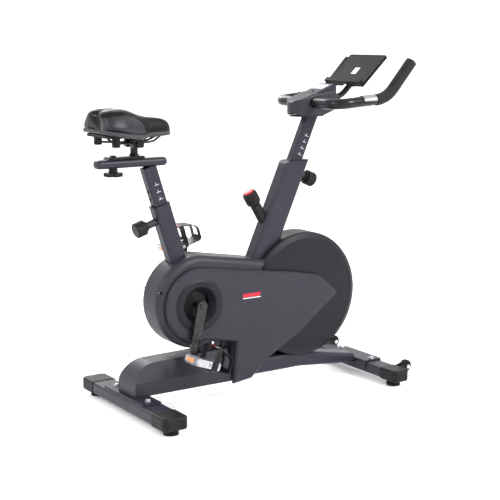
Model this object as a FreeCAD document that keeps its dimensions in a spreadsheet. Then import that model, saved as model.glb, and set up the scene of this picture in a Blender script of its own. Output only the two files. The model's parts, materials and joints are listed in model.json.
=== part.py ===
"""Belt-drive indoor exercise bike: welded steel frame, enclosed flywheel, sliding saddle and handlebar.

X runs forward (the rider faces +X), Y to the rider's left, Z up. All lengths are in millimetres and all
angles in degrees. Pieces are drawn about a datum on the floor near the middle of the bike, and the last
step moves them all by middle_x, so that the origin lies exactly under the middle.
"""
import FreeCAD, Part
import math
import os
import Sketcher
from FreeCAD import Placement, Rotation, Vector

doc = FreeCAD.newDocument("exercise_bike")

# ---------------------------------------------------------------------------------------------------
# Driving dimensions
# ---------------------------------------------------------------------------------------------------
SIZES = {
    # drive train
    "crank_x": -221.5, "crank_z": 344.4, "crank_length": 170.0, "crank_lean": 12.5,
    "crank_head": 19.0, "crank_foot": 14.0,
    "axle_radius": 10.0, "bearing_radius": 20.0, "shell_radius": 23.0, "shell_half": 34.0,
    "crank_inner_y": 84.0, "crank_outer_y": 95.0, "running_gap": 0.05, "air_gap": 0.3,
    "pulley_radius": 105.0, "pulley_near_y": 36.0, "pulley_far_y": 48.0, "belt_thick": 3.0,
    "flywheel_x": 216.5, "flywheel_z": 325.0, "flywheel_radius": 152.0, "flywheel_half": 11.0,
    "flywheel_pulley": 25.0, "flywheel_axle": 8.5, "flywheel_bearing": 16.0,
    "idler_x": 10.0, "idler_radius": 18.0, "fork_near": 27.0, "fork_thick": 5.0,
    # frame
    "beam_half": 40.0, "beam_top": 120.0, "beam_bottom": 66.0, "beam_wall": 2.5, "beam_corner": 13.0,
    "beam_rear": -425.0, "beam_bend": 208.0, "beam_front": 445.0,
    "beam_front_top": 78.0, "beam_front_bottom": 44.0,
    "seat_tilt": 17.8, "seat_tube_x": -269.0, "seat_tube_z": 502.0, "seat_tube_top": 672.0,
    "seat_tube_deep": 60.0, "seat_tube_wide": 46.0, "tube_wall": 2.5, "tube_corner": 10.0,
    "seat_post_deep": 48.0, "seat_post_wide": 36.0, "seat_post_top": 797.0, "seat_post_length": 325.0,
    "post_wall": 2.0, "post_corner": 8.0,
    "bar_tilt": 23.9, "bar_tube_x": 91.5, "bar_tube_z": 536.0, "bar_tube_top": 787.0,
    "bar_tube_deep": 84.0, "bar_tube_wide": 54.0,
    "bar_post_deep": 46.0, "bar_post_wide": 34.0, "bar_post_top": 945.0, "bar_post_length": 300.0,
    "sleeve_length": 110.0, "sleeve_lip": 3.0, "shoulder": 25.0,
    # feet
    "rear_bar_x": -432.5, "front_bar_x": 482.5, "rear_bar_half": 256.0, "front_bar_half": 230.0,
    "bar_bottom": 21.0, "bar_top": 59.0, "rear_bar_deep": 84.0, "front_bar_deep": 64.0,
    "cap_length": 32.0, "cap_overlap": 50.0, "rear_foot_y": 249.0, "front_foot_y": 213.0,
    "foot_radius": 24.0, "foot_height": 14.0, "stud_radius": 5.0,
    "wheel_x": 540.0, "wheel_z": 58.0, "wheel_radius": 22.0, "wheel_y": 208.0, "wheel_half": 9.0,
    "wheel_bolt": 4.0,
    # covers
    "panel_radius": 121.0, "cover_wall": 3.0, "cover_face": 60.0, "panel_face": 75.0,
    "rear_round": 154.0, "rear_round_x": -212.0, "rear_round_z": 350.0, "cover_bevel": 24.0,
    "cover_gap": 0.5, "disc_radius": 216.0, "disc_face": 55.0, "crank_hole": 66.0, "bezel_radius": 88.0,
    "beam_cover_half": 58.0, "beam_cover_top_half": 37.0, "beam_cover_rear": -452.0,
    "beam_cover_front": -92.0,
    # saddle
    "rail_z": 812.0, "rail_rear": -547.0, "rail_front": -301.0, "rail_half_height": 13.5,
    "rail_half_width": 20.0, "stem_x": -411.5, "stem_radius": 12.0, "clamp_z": 872.0,
    "saddle_rear": -549.0, "saddle_front": -284.0, "saddle_half": 96.0, "saddle_top": 984.0,
    # handlebar
    "bar_radius": 17.5, "grip_radius": 20.0, "bar_rear_x": 250.0, "bar_rear_z": 979.0, "bar_half": 178.0,
    "bend_x": 457.0, "bend_z": 994.0, "tip_x": 566.0, "tip_y": 170.0, "tip_z": 1112.0,
    "rear_bend": 55.0, "horn_bend": 110.0, "console_half": 47.0,
    "holder_recline": 47.0, "holder_half": 100.0, "holder_height": 136.0, "holder_thick": 9.0,
    # the way from the drawing datum to under the middle of the bike
    "middle_x": -17.2,
}

sheet = doc.addObject("Spreadsheet::Sheet", "sizes")
for row, (word, size) in enumerate(SIZES.items(), start=1):
    sheet.set(f"A{row}", word)
    sheet.set(f"B{row}", str(size))
    sheet.setAlias(f"B{row}", word)
doc.recompute()


class Dim:
    """A size worked out from the sheet: its value now and the expression that keeps it bound."""

    def __init__(self, value, text):
        self.value = float(value)
        self.text = text

    def __add__(self, other):
        return join(self, "+", other)

    def __radd__(self, other):
        return join(other, "+", self)

    def __sub__(self, other):
        return join(self, "-", other)

    def __rsub__(self, other):
        return join(other, "-", self)

    def __mul__(self, other):
        return join(self, "*", other)

    def __rmul__(self, other):
        return join(other, "*", self)

    def __truediv__(self, other):
        return join(self, "/", other)

    def __neg__(self):
        return join(-1, "*", self)


def number(size):
    """The plain value of a Dim or a number."""
    return size.value if isinstance(size, Dim) else float(size)


def text(size):
    """The expression text of a Dim or a number."""
    return size.text if isinstance(size, Dim) else f"({float(size)})"


def join(left, sign, right):
    """Joins two sizes with one arithmetic sign."""
    a, b = number(left), number(right)
    value = {"+": a + b, "-": a - b, "*": a * b, "/": a / b if b else 0.0}[sign]
    return Dim(value, f"({text(left)} {sign} {text(right)})")


def function(name, size):
    """A sheet function of a size: sin, cos and tan take degrees."""
    angle = math.radians(number(size))
    value = {"sin": math.sin(angle), "cos": math.cos(angle), "tan": math.tan(angle),
             "sqrt": math.sqrt(max(number(size), 0.0))}[name]
    return Dim(value, f"{name}({text(size)})")


def cell(word):
    """The sheet cell with this alias."""
    return Dim(float(sheet.get(word)), f"sizes.{word}")


D = {word: cell(word) for word in SIZES}

# ---------------------------------------------------------------------------------------------------
# Building helpers
# ---------------------------------------------------------------------------------------------------
NORMAL = {"XY_Plane": 1, "XZ_Plane": -1, "YZ_Plane": 1}
NODES = {}


def bind(thing, name, size):
    """Ties one property of an object to the sheet."""
    if "." not in name:
        setattr(thing, name, number(size))
    if isinstance(size, Dim):
        thing.setExpression(name, size.text)


def place(thing, x=0, y=0, z=0, axis=(0, 0, 1), angle=0):
    """Turns an object about its own origin, then moves it, with the position tied to the sheet."""
    thing.Placement = Placement(Vector(number(x), number(y), number(z)),
                                Rotation(Vector(*axis), number(angle)))
    for name, size in (("x", x), ("y", y), ("z", z)):
        bind(thing, f"Placement.Base.{name}", size)
    return thing


def node(thing, label):
    """Names an object as a finished sub-part."""
    thing.Label = label
    NODES[label] = thing
    return thing


def span(side, near, far):
    """Lowest and highest Y of a slab between two distances from the middle, on one side of the bike."""
    return (near, far) if side > 0 else (-far, -near)


class Arc:
    """A step of an outline: an arc of under half a turn that ends at (x, y)."""

    def __init__(self, x, y, radius, turn=1):
        self.end = (x, y)
        self.radius = radius
        self.turn = turn


class Circle:
    """A whole circle in a sketch."""

    def __init__(self, x, y, radius):
        self.centre = (x, y)
        self.radius = radius


def arc_curve(start, end, radius, turn):
    """The circular arc from start to end that turns left (+1) or right (-1)."""
    chord = end - start
    half = chord.Length / 2
    rise = math.sqrt(max(radius * radius - half * half, 0.0))
    left = Vector(-chord.y, chord.x, 0).normalize()
    centre = start + chord * 0.5 + left * rise * turn
    first, last = (start, end) if turn > 0 else (end, start)
    from_angle = math.atan2(first.y - centre.y, first.x - centre.x)
    to_angle = math.atan2(last.y - centre.y, last.x - centre.x)
    return Part.ArcOfCircle(Part.Circle(centre, Vector(0, 0, 1), radius), from_angle, to_angle)


def constrain(sketch, size, *arguments):
    """Adds one sketch dimension and ties it to the sheet."""
    index = sketch.addConstraint(Sketcher.Constraint(*arguments, number(size)))
    if isinstance(size, Dim):
        sketch.setExpression(f"Constraints[{index}]", size.text)


def draw(sketch, outline):
    """Draws a closed outline of lines and arcs, or a circle, with every point dimensioned."""
    if isinstance(outline, Circle):
        x, y = outline.centre
        circle = Part.Circle(Vector(number(x), number(y), 0), Vector(0, 0, 1), number(outline.radius))
        index = sketch.addGeometry(circle, False)
        constrain(sketch, outline.radius, "Radius", index)
        constrain(sketch, x, "DistanceX", index, 3)
        constrain(sketch, y, "DistanceY", index, 3)
        return
    ends = [step.end if isinstance(step, Arc) else step for step in outline]
    points = [Vector(number(x), number(y), 0) for x, y in ends]
    drawn = []
    for index, end in enumerate(points):
        step, start = outline[index], points[index - 1]
        if isinstance(step, Arc):
            curve = arc_curve(start, end, number(step.radius), step.turn)
            curve_index = sketch.addGeometry(curve, False)
            first, last = (1, 2) if step.turn > 0 else (2, 1)
            drawn.append((curve_index, first, last, step.radius))
        else:
            drawn.append((sketch.addGeometry(Part.LineSegment(start, end), False), 1, 2, None))
    for index, (curve_index, first, last, radius) in enumerate(drawn):
        follower = drawn[(index + 1) % len(drawn)]
        sketch.addConstraint(Sketcher.Constraint("Coincident", curve_index, last, follower[0], follower[1]))
        x, y = ends[index]
        constrain(sketch, x, "DistanceX", curve_index, last)
        constrain(sketch, y, "DistanceY", curve_index, last)
        if radius is not None:
            constrain(sketch, radius, "Radius", curve_index)


class Piece:
    """A PartDesign body built up feature by feature."""

    def __init__(self, label):
        self.body = doc.addObject("PartDesign::Body", label)
        self.body.Label = label

    def sketch(self, plane, outlines, offset):
        """A sketch on one of the body's own origin planes, moved along the plane's normal."""
        sketch = self.body.newObject("Sketcher::SketchObject", "Sketch")
        support = next(item for item in self.body.Origin.OriginFeatures if item.Role == plane)
        sketch.AttachmentSupport = [(support, "")]
        sketch.MapMode = "FlatFace"
        sketch.AttachmentOffset = Placement(Vector(0, 0, number(offset)), Rotation())
        if isinstance(offset, Dim):
            sketch.setExpression("AttachmentOffset.Base.z", offset.text)
        for outline in outlines:
            draw(sketch, outline)
        return sketch

    def pad(self, plane, outlines, low, high):
        """Adds a slab between two places along the world axis that the plane faces."""
        offset = low if NORMAL[plane] > 0 else -high
        pad = self.body.newObject("PartDesign::Pad", "Pad")
        pad.Profile = self.sketch(plane, outlines, offset)
        bind(pad, "Length", high - low)
        self.body.Tip = pad
        doc.recompute()
        return self

    def pocket(self, plane, outlines, low, high):
        """Cuts a slab away between two places along the world axis that the plane faces."""
        volume = self.body.Shape.Volume
        offset = high if NORMAL[plane] > 0 else -low
        sketch = self.sketch(plane, outlines, offset)
        pocket = self.body.newObject("PartDesign::Pocket", "Pocket")
        pocket.Profile = sketch
        bind(pocket, "Length", high - low)
        self.body.Tip = pocket
        doc.recompute()
        if self.body.Shape.Volume >= volume:
            raise ValueError(f"a pocket of {self.body.Label} cut nothing")
        return self

    def revolve(self, plane, outlines, axis="V_Axis"):
        """Adds a full turn of a profile about one axis of its sketch."""
        sketch = self.sketch(plane, outlines, 0)
        revolution = self.body.newObject("PartDesign::Revolution", "Revolution")
        revolution.Profile = sketch
        revolution.ReferenceAxis = (sketch, [axis])
        revolution.Angle = 360
        self.body.Tip = revolution
        doc.recompute()
        return self

    def fillet(self, radius, wanted, kind="PartDesign::Fillet"):
        """Rounds (or chamfers) the edges that the test picks."""
        base = self.body.Tip
        names = [f"Edge{i}" for i, edge in enumerate(base.Shape.Edges, start=1) if wanted(edge)]
        rounding = self.body.newObject(kind, "Rounding")
        rounding.Base = (base, names)
        bind(rounding, "Radius" if kind.endswith("Fillet") else "Size", radius)
        self.body.Tip = rounding
        doc.recompute()
        return self

    def hollow(self, wall, wanted):
        """Leaves a wall of even thickness, open at the faces that the test picks."""
        base = self.body.Tip
        names = [f"Face{i}" for i, face in enumerate(base.Shape.Faces, start=1) if wanted(face)]
        shell = self.body.newObject("PartDesign::Thickness", "Shell")
        shell.Base = (base, names)
        bind(shell, "Value", wall)
        shell.Reversed = True
        shell.Mode = 0
        shell.Join = 0
        self.body.Tip = shell
        doc.recompute()
        return self


def runs_along(direction):
    """A test for straight edges parallel to a direction."""
    wanted = Vector(*direction)

    def test(edge):
        if not isinstance(edge.Curve, Part.Line):
            return False
        return abs(edge.tangentAt(edge.FirstParameter).dot(wanted)) > 0.999

    return test


def lies_at(axis, place_at):
    """A test for edges or faces wholly at one coordinate."""

    def test(item):
        box = item.BoundBox
        low, high = {"x": (box.XMin, box.XMax), "y": (box.YMin, box.YMax), "z": (box.ZMin, box.ZMax)}[axis]
        return abs(low - number(place_at)) < 0.01 and abs(high - number(place_at)) < 0.01

    return test


def rectangle(x0, y0, x1, y1):
    """A rectangle's outline between two corners."""
    return [(x0, y0), (x1, y0), (x1, y1), (x0, y1)]


def rounded_rectangle(half_x, half_y, corner, x=0, y=0):
    """A rectangle about a centre with quarter-round corners."""
    left, right, bottom, top = x - half_x, x + half_x, y - half_y, y + half_y
    return [Arc(left + corner, bottom, corner), (right - corner, bottom),
            Arc(right, bottom + corner, corner), (right, top - corner),
            Arc(right - corner, top, corner), (left + corner, top),
            Arc(left, top - corner, corner), (left, bottom + corner)]


def two_rounds(length, big, small):
    """The outline round two circles on the local X axis: a big one at 0 and a small one at length."""
    cosine = (big - small) / length
    sine = function("sqrt", 1 - cosine * cosine)
    return [Arc(-big, 0, big), Arc(big * cosine, -(big * sine), big),
            (length + small * cosine, -(small * sine)),
            Arc(length + small, 0, small), Arc(length + small * cosine, small * sine, small),
            (big * cosine, big * sine)]


def box(label, x, y, z):
    """A plain block given by its (low, high) extents."""
    block = doc.addObject("Part::Box", label)
    for name, (low, high) in (("Length", x), ("Width", y), ("Height", z)):
        bind(block, name, high - low)
    return place(block, x[0], y[0], z[0])


AIM = {"x": ((0, 1, 0), 90), "y": ((1, 0, 0), -90), "z": ((0, 0, 1), 0)}


def rod(label, radius, axis, start, length, x=0, y=0, z=0):
    """A round bar along a world axis, from a start coordinate on that axis."""
    bar = doc.addObject("Part::Cylinder", label)
    bind(bar, "Radius", radius)
    bind(bar, "Height", length)
    turn_axis, angle = AIM[axis]
    where = {"x": x, "y": y, "z": z}
    where[axis] = start
    return place(bar, where["x"], where["y"], where["z"], turn_axis, angle)


def cut(label, base, *tools):
    """The base with the tools taken away."""
    result = doc.addObject("Part::Cut", label)
    result.Base = base
    result.Tool = tools[0] if len(tools) == 1 else fuse(label + "_tools", *tools)
    return result


def fuse(label, *shapes):
    """Several solids made one."""
    result = doc.addObject("Part::MultiFuse", label)
    result.Shapes = list(shapes)
    return result


def overlap(label, *shapes):
    """The space that several solids share."""
    result = doc.addObject("Part::MultiCommon", label)
    result.Shapes = list(shapes)
    return result


def group(label, *shapes):
    """Several separate solids kept in one node."""
    result = doc.addObject("Part::Compound", label)
    result.Links = list(shapes)
    return result


def bar_path(points, corners):
    """A wire of straight runs joined by arcs that touch both runs, with one radius for each bend."""
    edges = []
    here = points[0]
    for before, bend, after, corner in zip(points, points[1:], points[2:], corners):
        to_before = (before - bend).normalize()
        to_after = (after - bend).normalize()
        half_turn = (math.pi - to_before.getAngle(to_after)) / 2
        reach = corner * math.tan(half_turn)
        start = bend + to_before * reach
        end = bend + to_after * reach
        centre = bend + (to_before + to_after).normalize() * (corner / math.cos(half_turn))
        middle = centre + (bend - centre).normalize() * corner
        edges.append(Part.LineSegment(here, start).toShape())
        edges.append(Part.Arc(start, middle, end).toShape())
        here = end
    edges.append(Part.LineSegment(here, points[-1]).toShape())
    return Part.Wire(edges)


def swept(wire, radius):
    """A round bar along a wire."""
    first = wire.OrderedEdges[0]
    start = first.valueAt(first.FirstParameter)
    direction = first.tangentAt(first.FirstParameter)
    profile = Part.Wire([Part.Circle(start, direction, radius).toShape()])
    return wire.makePipeShell([profile], True, True)


def feature(label, shape):
    """A sub-part whose shape is made directly from sheet sizes."""
    result = doc.addObject("Part::Feature", label)
    result.Shape = shape
    result.Placement = Placement()
    return node(result, label)


# ---------------------------------------------------------------------------------------------------
# Frame: beam, tubes and welded parts
# ---------------------------------------------------------------------------------------------------
BIG = 1500
SIDES = {"right": -1, "left": 1}
MIDDLE = (-BIG, BIG)


def seat_x(height):
    """X of the seat tube's axis at a height."""
    return D["seat_tube_x"] - function("tan", D["seat_tilt"]) * (height - D["seat_tube_z"])


def post_x(height):
    """X of the front post's axis at a height."""
    return D["bar_tube_x"] + function("tan", D["bar_tilt"]) * (height - D["bar_tube_z"])


def tube(label, deep, wide, wall, corner, length):
    """A rectangular tube with rounded corners, standing on its local origin."""
    outer = rounded_rectangle(deep / 2, wide / 2, corner)
    inner = rounded_rectangle(deep / 2 - wall, wide / 2 - wall, corner - wall)
    return Piece(label).pad("XY_Plane", [outer, inner], 0, length).body


def leaning(thing, x_at, height, tilt):
    """Stands a piece on a tilted tube's axis, with its local origin at this height."""
    return place(thing, x_at(height), 0, height, (0, 1, 0), tilt)


def leaning_block(label, x_at, tilt, low, high, deep, wide):
    """A plain block round a tilted tube's axis, used to clear a way for the tube."""
    block = doc.addObject("Part::Box", label)
    bind(block, "Length", deep)
    bind(block, "Width", wide)
    bind(block, "Height", (high - low) / function("cos", tilt))
    lean = Rotation(Vector(0, 1, 0), number(tilt))
    corner = lean.multVec(Vector(-number(deep) / 2, -number(wide) / 2, 0))
    block.Placement = Placement(Vector(number(x_at(low)), 0, number(low)) + corner, lean)
    return block


SEAT_LEAN = -1 * D["seat_tilt"]
POST_LEAN = D["bar_tilt"]


def seat_way(label, extra):
    """The space of the seat tube with some room round it."""
    return leaning_block(label, seat_x, SEAT_LEAN, D["beam_top"] - 20, D["seat_tube_top"],
                         D["seat_tube_deep"] + extra, D["seat_tube_wide"] + extra)


def post_way(label, extra):
    """The space of the front post with some room round it."""
    return leaning_block(label, post_x, POST_LEAN, D["beam_top"] - 20, D["bar_tube_top"],
                         D["bar_tube_deep"] + extra, D["bar_tube_wide"] + extra)


def beam_way(label, extra):
    """The straight space over and round the base beam."""
    half = D["beam_half"] + extra
    return box(label, MIDDLE, (-half, half), (0, D["beam_top"] + extra))


def beam_block(label, inset, overrun):
    """The base beam's outer form, or the space inside it when drawn in by its wall."""
    rear, bend, front = D["beam_rear"] - overrun, D["beam_bend"], D["beam_front"] + overrun
    slope_top = (D["beam_top"] - D["beam_front_top"]) / (D["beam_front"] - D["beam_bend"])
    slope_bottom = (D["beam_bottom"] - D["beam_front_bottom"]) / (D["beam_front"] - D["beam_bend"])
    top, bottom = D["beam_top"] - inset, D["beam_bottom"] + inset
    side_view = [(rear, bottom), (bend, bottom),
                 (front, D["beam_front_bottom"] + inset - slope_bottom * overrun),
                 (front, D["beam_front_top"] - inset - slope_top * overrun), (bend, top), (rear, top)]
    half = D["beam_half"] - inset
    piece = Piece(label).pad("XZ_Plane", [side_view], -half, half)
    sides = [lies_at("y", -half), lies_at("y", half)]
    piece.fillet(D["beam_corner"] - inset, lambda e: any(t(e) for t in sides) and e.BoundBox.XLength > 10)
    return piece.body


def make_beam():
    """Base beam: one rectangular steel tube that drops at the front to pass under the flywheel."""
    bar_space = box("front_bar_space", (D["front_bar_x"] - D["front_bar_deep"] / 2, D["front_bar_x"] + 60),
                    MIDDLE, (0, D["bar_top"]))
    outer = beam_block("beam_outer", 0, 0)
    inner = beam_block("beam_inner", D["beam_wall"], 20)
    node(group("base_beam_group", cut("base_beam_cut", outer, inner, bar_space), *flywheel_dropouts()),
         "base_beam")


def make_tubes():
    """Seat tube, front post and the crank shell that is welded through the seat tube."""
    under = box("under_beam_top", MIDDLE, MIDDLE, (0, D["beam_top"]))
    base = D["beam_top"] - 20
    seat = tube("seat_tube_blank", D["seat_tube_deep"], D["seat_tube_wide"], D["tube_wall"], D["tube_corner"],
                (D["seat_tube_top"] - base) / function("cos", D["seat_tilt"]))
    leaning(seat, seat_x, base, SEAT_LEAN)
    shell_space = rod("shell_space", D["shell_radius"], "y", -100, 200, D["crank_x"], z=D["crank_z"])
    seat_cut = cut("seat_tube_cut", seat, under, shell_space, seat_pin_way("seat_pin_way"))
    post = tube("front_post_blank", D["bar_tube_deep"], D["bar_tube_wide"], D["tube_wall"], D["tube_corner"],
                (D["bar_tube_top"] + OVER_TOP - base) / function("cos", D["bar_tilt"]))
    leaning(post, post_x, base, POST_LEAN)
    post_cut = cut("front_post_cut", post, under, front_pin_way("front_pin_way"),
                   push_rod_way("push_rod_way"),
                   seat_way("post_cope", 0), above_post("post", D["bar_tube_top"] - D["sleeve_lip"]),
                   shoulder("post"))
    front_housing = pin_housing("handlebar_pin", post_x, FRONT_PIN_HEIGHT, front_direction(),
                                D["bar_tube_deep"])
    node(group("front_post_group", post_cut, front_housing, *brake_lug()), "front_post")
    shell = Piece("crank_shell").pad("XZ_Plane",
                                     [Circle(0, 0, D["shell_radius"]), Circle(0, 0, D["bearing_radius"])],
                                     -D["shell_half"], D["shell_half"])
    place(shell.body, D["crank_x"], 0, D["crank_z"])
    rear_housing = pin_housing("seat_pin", seat_x, SEAT_PIN_HEIGHT, seat_direction(), D["seat_tube_deep"])
    node(group("seat_tube_group", seat_cut, shell.body, rear_housing), "seat_tube")


def make_bearings():
    """Ball bearings, as plain rings: two for the crank axle and two for the flywheel's axle."""
    bearings = []
    for side_name, side in SIDES.items():
        low, high = span(side, D["shell_half"] - 12, D["shell_half"])
        ring = Piece(f"{side_name}_crank_bearing")
        ring.pad("XZ_Plane",
                 [Circle(0, 0, D["bearing_radius"]), Circle(0, 0, D["axle_radius"] + D["running_gap"])],
                 low, high)
        bearings.append(place(ring.body, D["crank_x"], 0, D["crank_z"]))
        low, high = span(side, D["fork_near"], D["fork_near"] + D["fork_thick"])
        ring = Piece(f"{side_name}_flywheel_bearing")
        bore = D["flywheel_axle"] + D["running_gap"]
        ring.pad("XZ_Plane", [Circle(0, 0, D["flywheel_bearing"]), Circle(0, 0, bore)], low, high)
        bearings.append(place(ring.body, D["flywheel_x"], 0, D["flywheel_z"]))
    node(group("bearings_group", *bearings), "drive_bearings")


def seat_direction():
    """Unit vector square to the seat tube, pointing back and down."""
    return Rotation(Vector(0, 1, 0), -number(D["seat_tilt"])).multVec(Vector(-1, 0, 0))


def front_direction():
    """Unit vector square to the front post, pointing forward and down."""
    return Rotation(Vector(0, 1, 0), number(D["bar_tilt"])).multVec(Vector(1, 0, 0))


def aimed_rod(label, radius, start, direction, length):
    """A round bar from a point along any direction."""
    bar = doc.addObject("Part::Cylinder", label)
    bind(bar, "Radius", radius)
    bind(bar, "Height", length)
    bar.Placement = Placement(start, Rotation(Vector(0, 0, 1), direction))
    return bar


OVER_TOP = 60
SEAT_PIN_HEIGHT = 627.0
FRONT_PIN_HEIGHT = 753.0
KNOB_STANDS_OFF = {"seat_pin": 36.5, "handlebar_pin": 18.0}
PIN_RADIUS = 5.0
PIN_HOUSING_RADIUS = 12.0
ROD_RADIUS = 5.0
KNOB_TUBE_LENGTH = 52.0
PUSH_GAP = 6.0


def axis_point(x_at, height):
    """A point on a tilted tube's axis."""
    return Vector(number(x_at(height)), 0, height)


def seat_pin_way(label):
    """The hole through the seat tube's rear wall for its pin."""
    return aimed_rod(label, PIN_RADIUS + 1, axis_point(seat_x, SEAT_PIN_HEIGHT), seat_direction(), 100)


def front_pin_way(label):
    """The hole through the front post's front wall for its pin."""
    return aimed_rod(label, PIN_RADIUS + 1, axis_point(post_x, FRONT_PIN_HEIGHT), front_direction(), 100)


def knob_axis():
    """The tension knob's axis: a point on the front post's rear face and a direction up and back."""
    return Vector(69, 0, 600), Vector(-0.515, 0, 0.857)


def push_rod_way(label):
    """The hole right through the front post for the brake's push rod."""
    start, direction = knob_axis()
    return aimed_rod(label, ROD_RADIUS + 1, start + direction * 60, direction * -1, 260)


def pin_housing(label, x_at, height, direction, tube_deep):
    """The short threaded boss welded on a tube, which guides its spring pin."""
    start = axis_point(x_at, height)
    face = number(tube_deep) / 2
    way = seat_way if x_at is seat_x else post_way
    housing = aimed_rod(f"{label}_housing_out", PIN_HOUSING_RADIUS, start, direction,
                        face + KNOB_STANDS_OFF[label] - 0.5)
    bore = aimed_rod(f"{label}_housing_in", PIN_RADIUS + number(D["running_gap"]), start, direction,
                     face + 60)
    return cut(f"{label}_housing", housing, way(f"{label}_tube_space", 0), bore)


def above_post(label, height):
    """Everything above the level top of the front post."""
    return box(f"{label}_above", MIDDLE, MIDDLE, (height, height + 400))


def shoulder(label):
    """What is taken off the rear top corner of the front post to leave it rounded."""
    radius, tilt, top = D["shoulder"], D["bar_tilt"], D["bar_tube_top"]
    rear = post_x(top) - D["bar_tube_deep"] / 2 / function("cos", tilt)
    x = rear + radius * (1 - function("sin", tilt)) / function("cos", tilt)
    z = top - radius
    reach = radius * 2
    corner = Piece(f"{label}_shoulder_blank")
    corner.pad("XZ_Plane", [[(x, z), (x, top + 10), (x - reach, top + 10),
                             (x - reach * function("cos", tilt), z + reach * function("sin", tilt))]], -60,
               60)
    return cut(f"{label}_shoulder", corner.body,
               rod(f"{label}_shoulder_round", radius, "y", -80, 160, x, z=z))


def liner(label, side, low, high, overhang=None):
    """A sleeve's section round its post: inside the outer tube, or over its end as a lip."""
    deep, wide, corner = D[f"{side}_tube_deep"] / 2, D[f"{side}_tube_wide"] / 2, D["tube_corner"]
    gap = D["air_gap"]
    inner = rounded_rectangle(D[f"{side}_post_deep"] / 2 + gap, D[f"{side}_post_wide"] / 2 + gap,
                              D["post_corner"])
    grow = -1 * D["tube_wall"] if overhang is None else overhang
    return Piece(label).pad("XY_Plane", [rounded_rectangle(deep + grow, wide + grow, corner + grow), inner],
                            low, high)


def make_sleeves():
    """Plastic guide sleeves at the tops of the two outer tubes, each ending in a thin lip."""
    seat = [liner("seat_liner", "seat", -D["sleeve_length"], 0),
            liner("seat_lip", "seat", 0, D["sleeve_lip"], 1.0)]
    seat[1].fillet(1, lambda edge: lies_at("z", D["sleeve_lip"])(edge) and edge.CenterOfMass.Length > 24)
    for piece in seat:
        leaning(piece.body, seat_x, D["seat_tube_top"], SEAT_LEAN)
    seat_sleeve = cut("seat_sleeve_cut", fuse("seat_sleeve", *[piece.body for piece in seat]),
                      seat_pin_way("seat_sleeve_way"))
    inside = liner("bar_liner", "bar", -D["sleeve_length"] - OVER_TOP, OVER_TOP)
    lip = liner("bar_lip", "bar", -OVER_TOP, OVER_TOP, 0.0)
    for piece in (inside, lip):
        leaning(piece.body, post_x, D["bar_tube_top"], POST_LEAN)
    under_lip = box("under_lip", MIDDLE, MIDDLE, (0, D["bar_tube_top"] - D["sleeve_lip"]))
    whole = fuse("bar_sleeve", inside.body, cut("bar_lip_cut", lip.body, under_lip))
    bar_sleeve = cut("bar_sleeve_cut", whole, front_pin_way("bar_sleeve_way"),
                     above_post("sleeve", D["bar_tube_top"]), shoulder("sleeve"))
    node(group("sleeves_group", seat_sleeve, bar_sleeve), "guide_sleeves")


def flywheel_dropouts():
    """Two steel dropouts welded on the beam, which carry the flywheel's bearings."""
    plates = []
    height = D["flywheel_z"] - D["beam_top"]
    for name, side in SIDES.items():
        low, high = span(side, D["fork_near"], D["fork_near"] + D["fork_thick"])
        plate = Piece(f"{name}_dropout")
        plate.pad("XZ_Plane",
                  [[(-62, 0), (-10, 0), (30, height), Arc(0, height + 30, 30), Arc(-30, height, 30)]],
                  low, high)
        plate.pocket("XZ_Plane", [Circle(0, height, D["flywheel_bearing"])], low - 1, high + 1)
        plates.append(place(plate.body, D["flywheel_x"], 0, D["beam_top"]))
    return plates


def make_feet():
    """Front and rear floor bars, their end caps, mounting plate, bolts and levelling feet."""
    for name, x, deep, half in (("rear", D["rear_bar_x"], D["rear_bar_deep"], D["rear_bar_half"]),
                                ("front", D["front_bar_x"], D["front_bar_deep"], D["front_bar_half"])):
        height = (D["bar_top"] - D["bar_bottom"]) / 2
        outer = rounded_rectangle(deep / 2, height, 8)
        inner = rounded_rectangle(deep / 2 - 2, height - 2, 6)
        bar = Piece(f"{name}_bar_blank").pad("XZ_Plane", [outer, inner], -half, half)
        place(bar.body, x, 0, D["bar_bottom"] + height)
        holes = [rod(f"{name}_stud_hole_{side}", D["stud_radius"] + 0.5, "z", D["bar_bottom"] - 5, 12,
                     x, side * D[f"{name}_foot_y"]) for side in SIDES.values()]
        holes += [rod(f"{name}_bolt_hole_{side}", D["stud_radius"], "z", D["bar_top"] - 10, 20, x,
                      side * BOLT_Y[name]) for side in SIDES.values()]
        node(cut(f"{name}_bar_cut", bar.body, *holes), f"{name}_stabilizer")
    plate = Piece("rear_plate_blank").pad("XY_Plane", [rectangle(-34, -130, 34, 130)], D["bar_top"],
                                          D["beam_bottom"])
    plate.pocket("XY_Plane", [Circle(0, side * BOLT_Y["rear"], D["stud_radius"]) for side in SIDES.values()],
                 D["bar_top"] - 1, D["beam_bottom"] + 1)
    place(plate.body, D["rear_bar_x"], 0, 0)
    node(group("mount_plates_group", plate.body, front_bracket()), "mount_plates")
    bolts = wheel_axles() + cover_screws()
    for name, x, top in (("rear", D["rear_bar_x"], D["beam_bottom"]),
                         ("front", D["front_bar_x"], BRACKET_TOP)):
        for side in SIDES.values():
            bolt = Piece(f"{name}_bolt_{side}").pad("XY_Plane", [Circle(0, 0, D["stud_radius"])], -14, 0)
            bolt.pad("XY_Plane", [Circle(0, 0, 11)], 0, 2)
            bolt.pad("XY_Plane", [Circle(0, 0, 8)], 2, 9)
            bolt.fillet(3, lies_at("z", 9))
            bolts.append(place(bolt.body, x, side * BOLT_Y[name], top))
    node(group("bolts_group", *bolts), "frame_fasteners")


BOLT_Y = {"rear": 105, "front": 88}
BRACKET_TOP = 65.0
FOOT_NAMES = ("rear_right", "rear_left", "front_right", "front_left")


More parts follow.
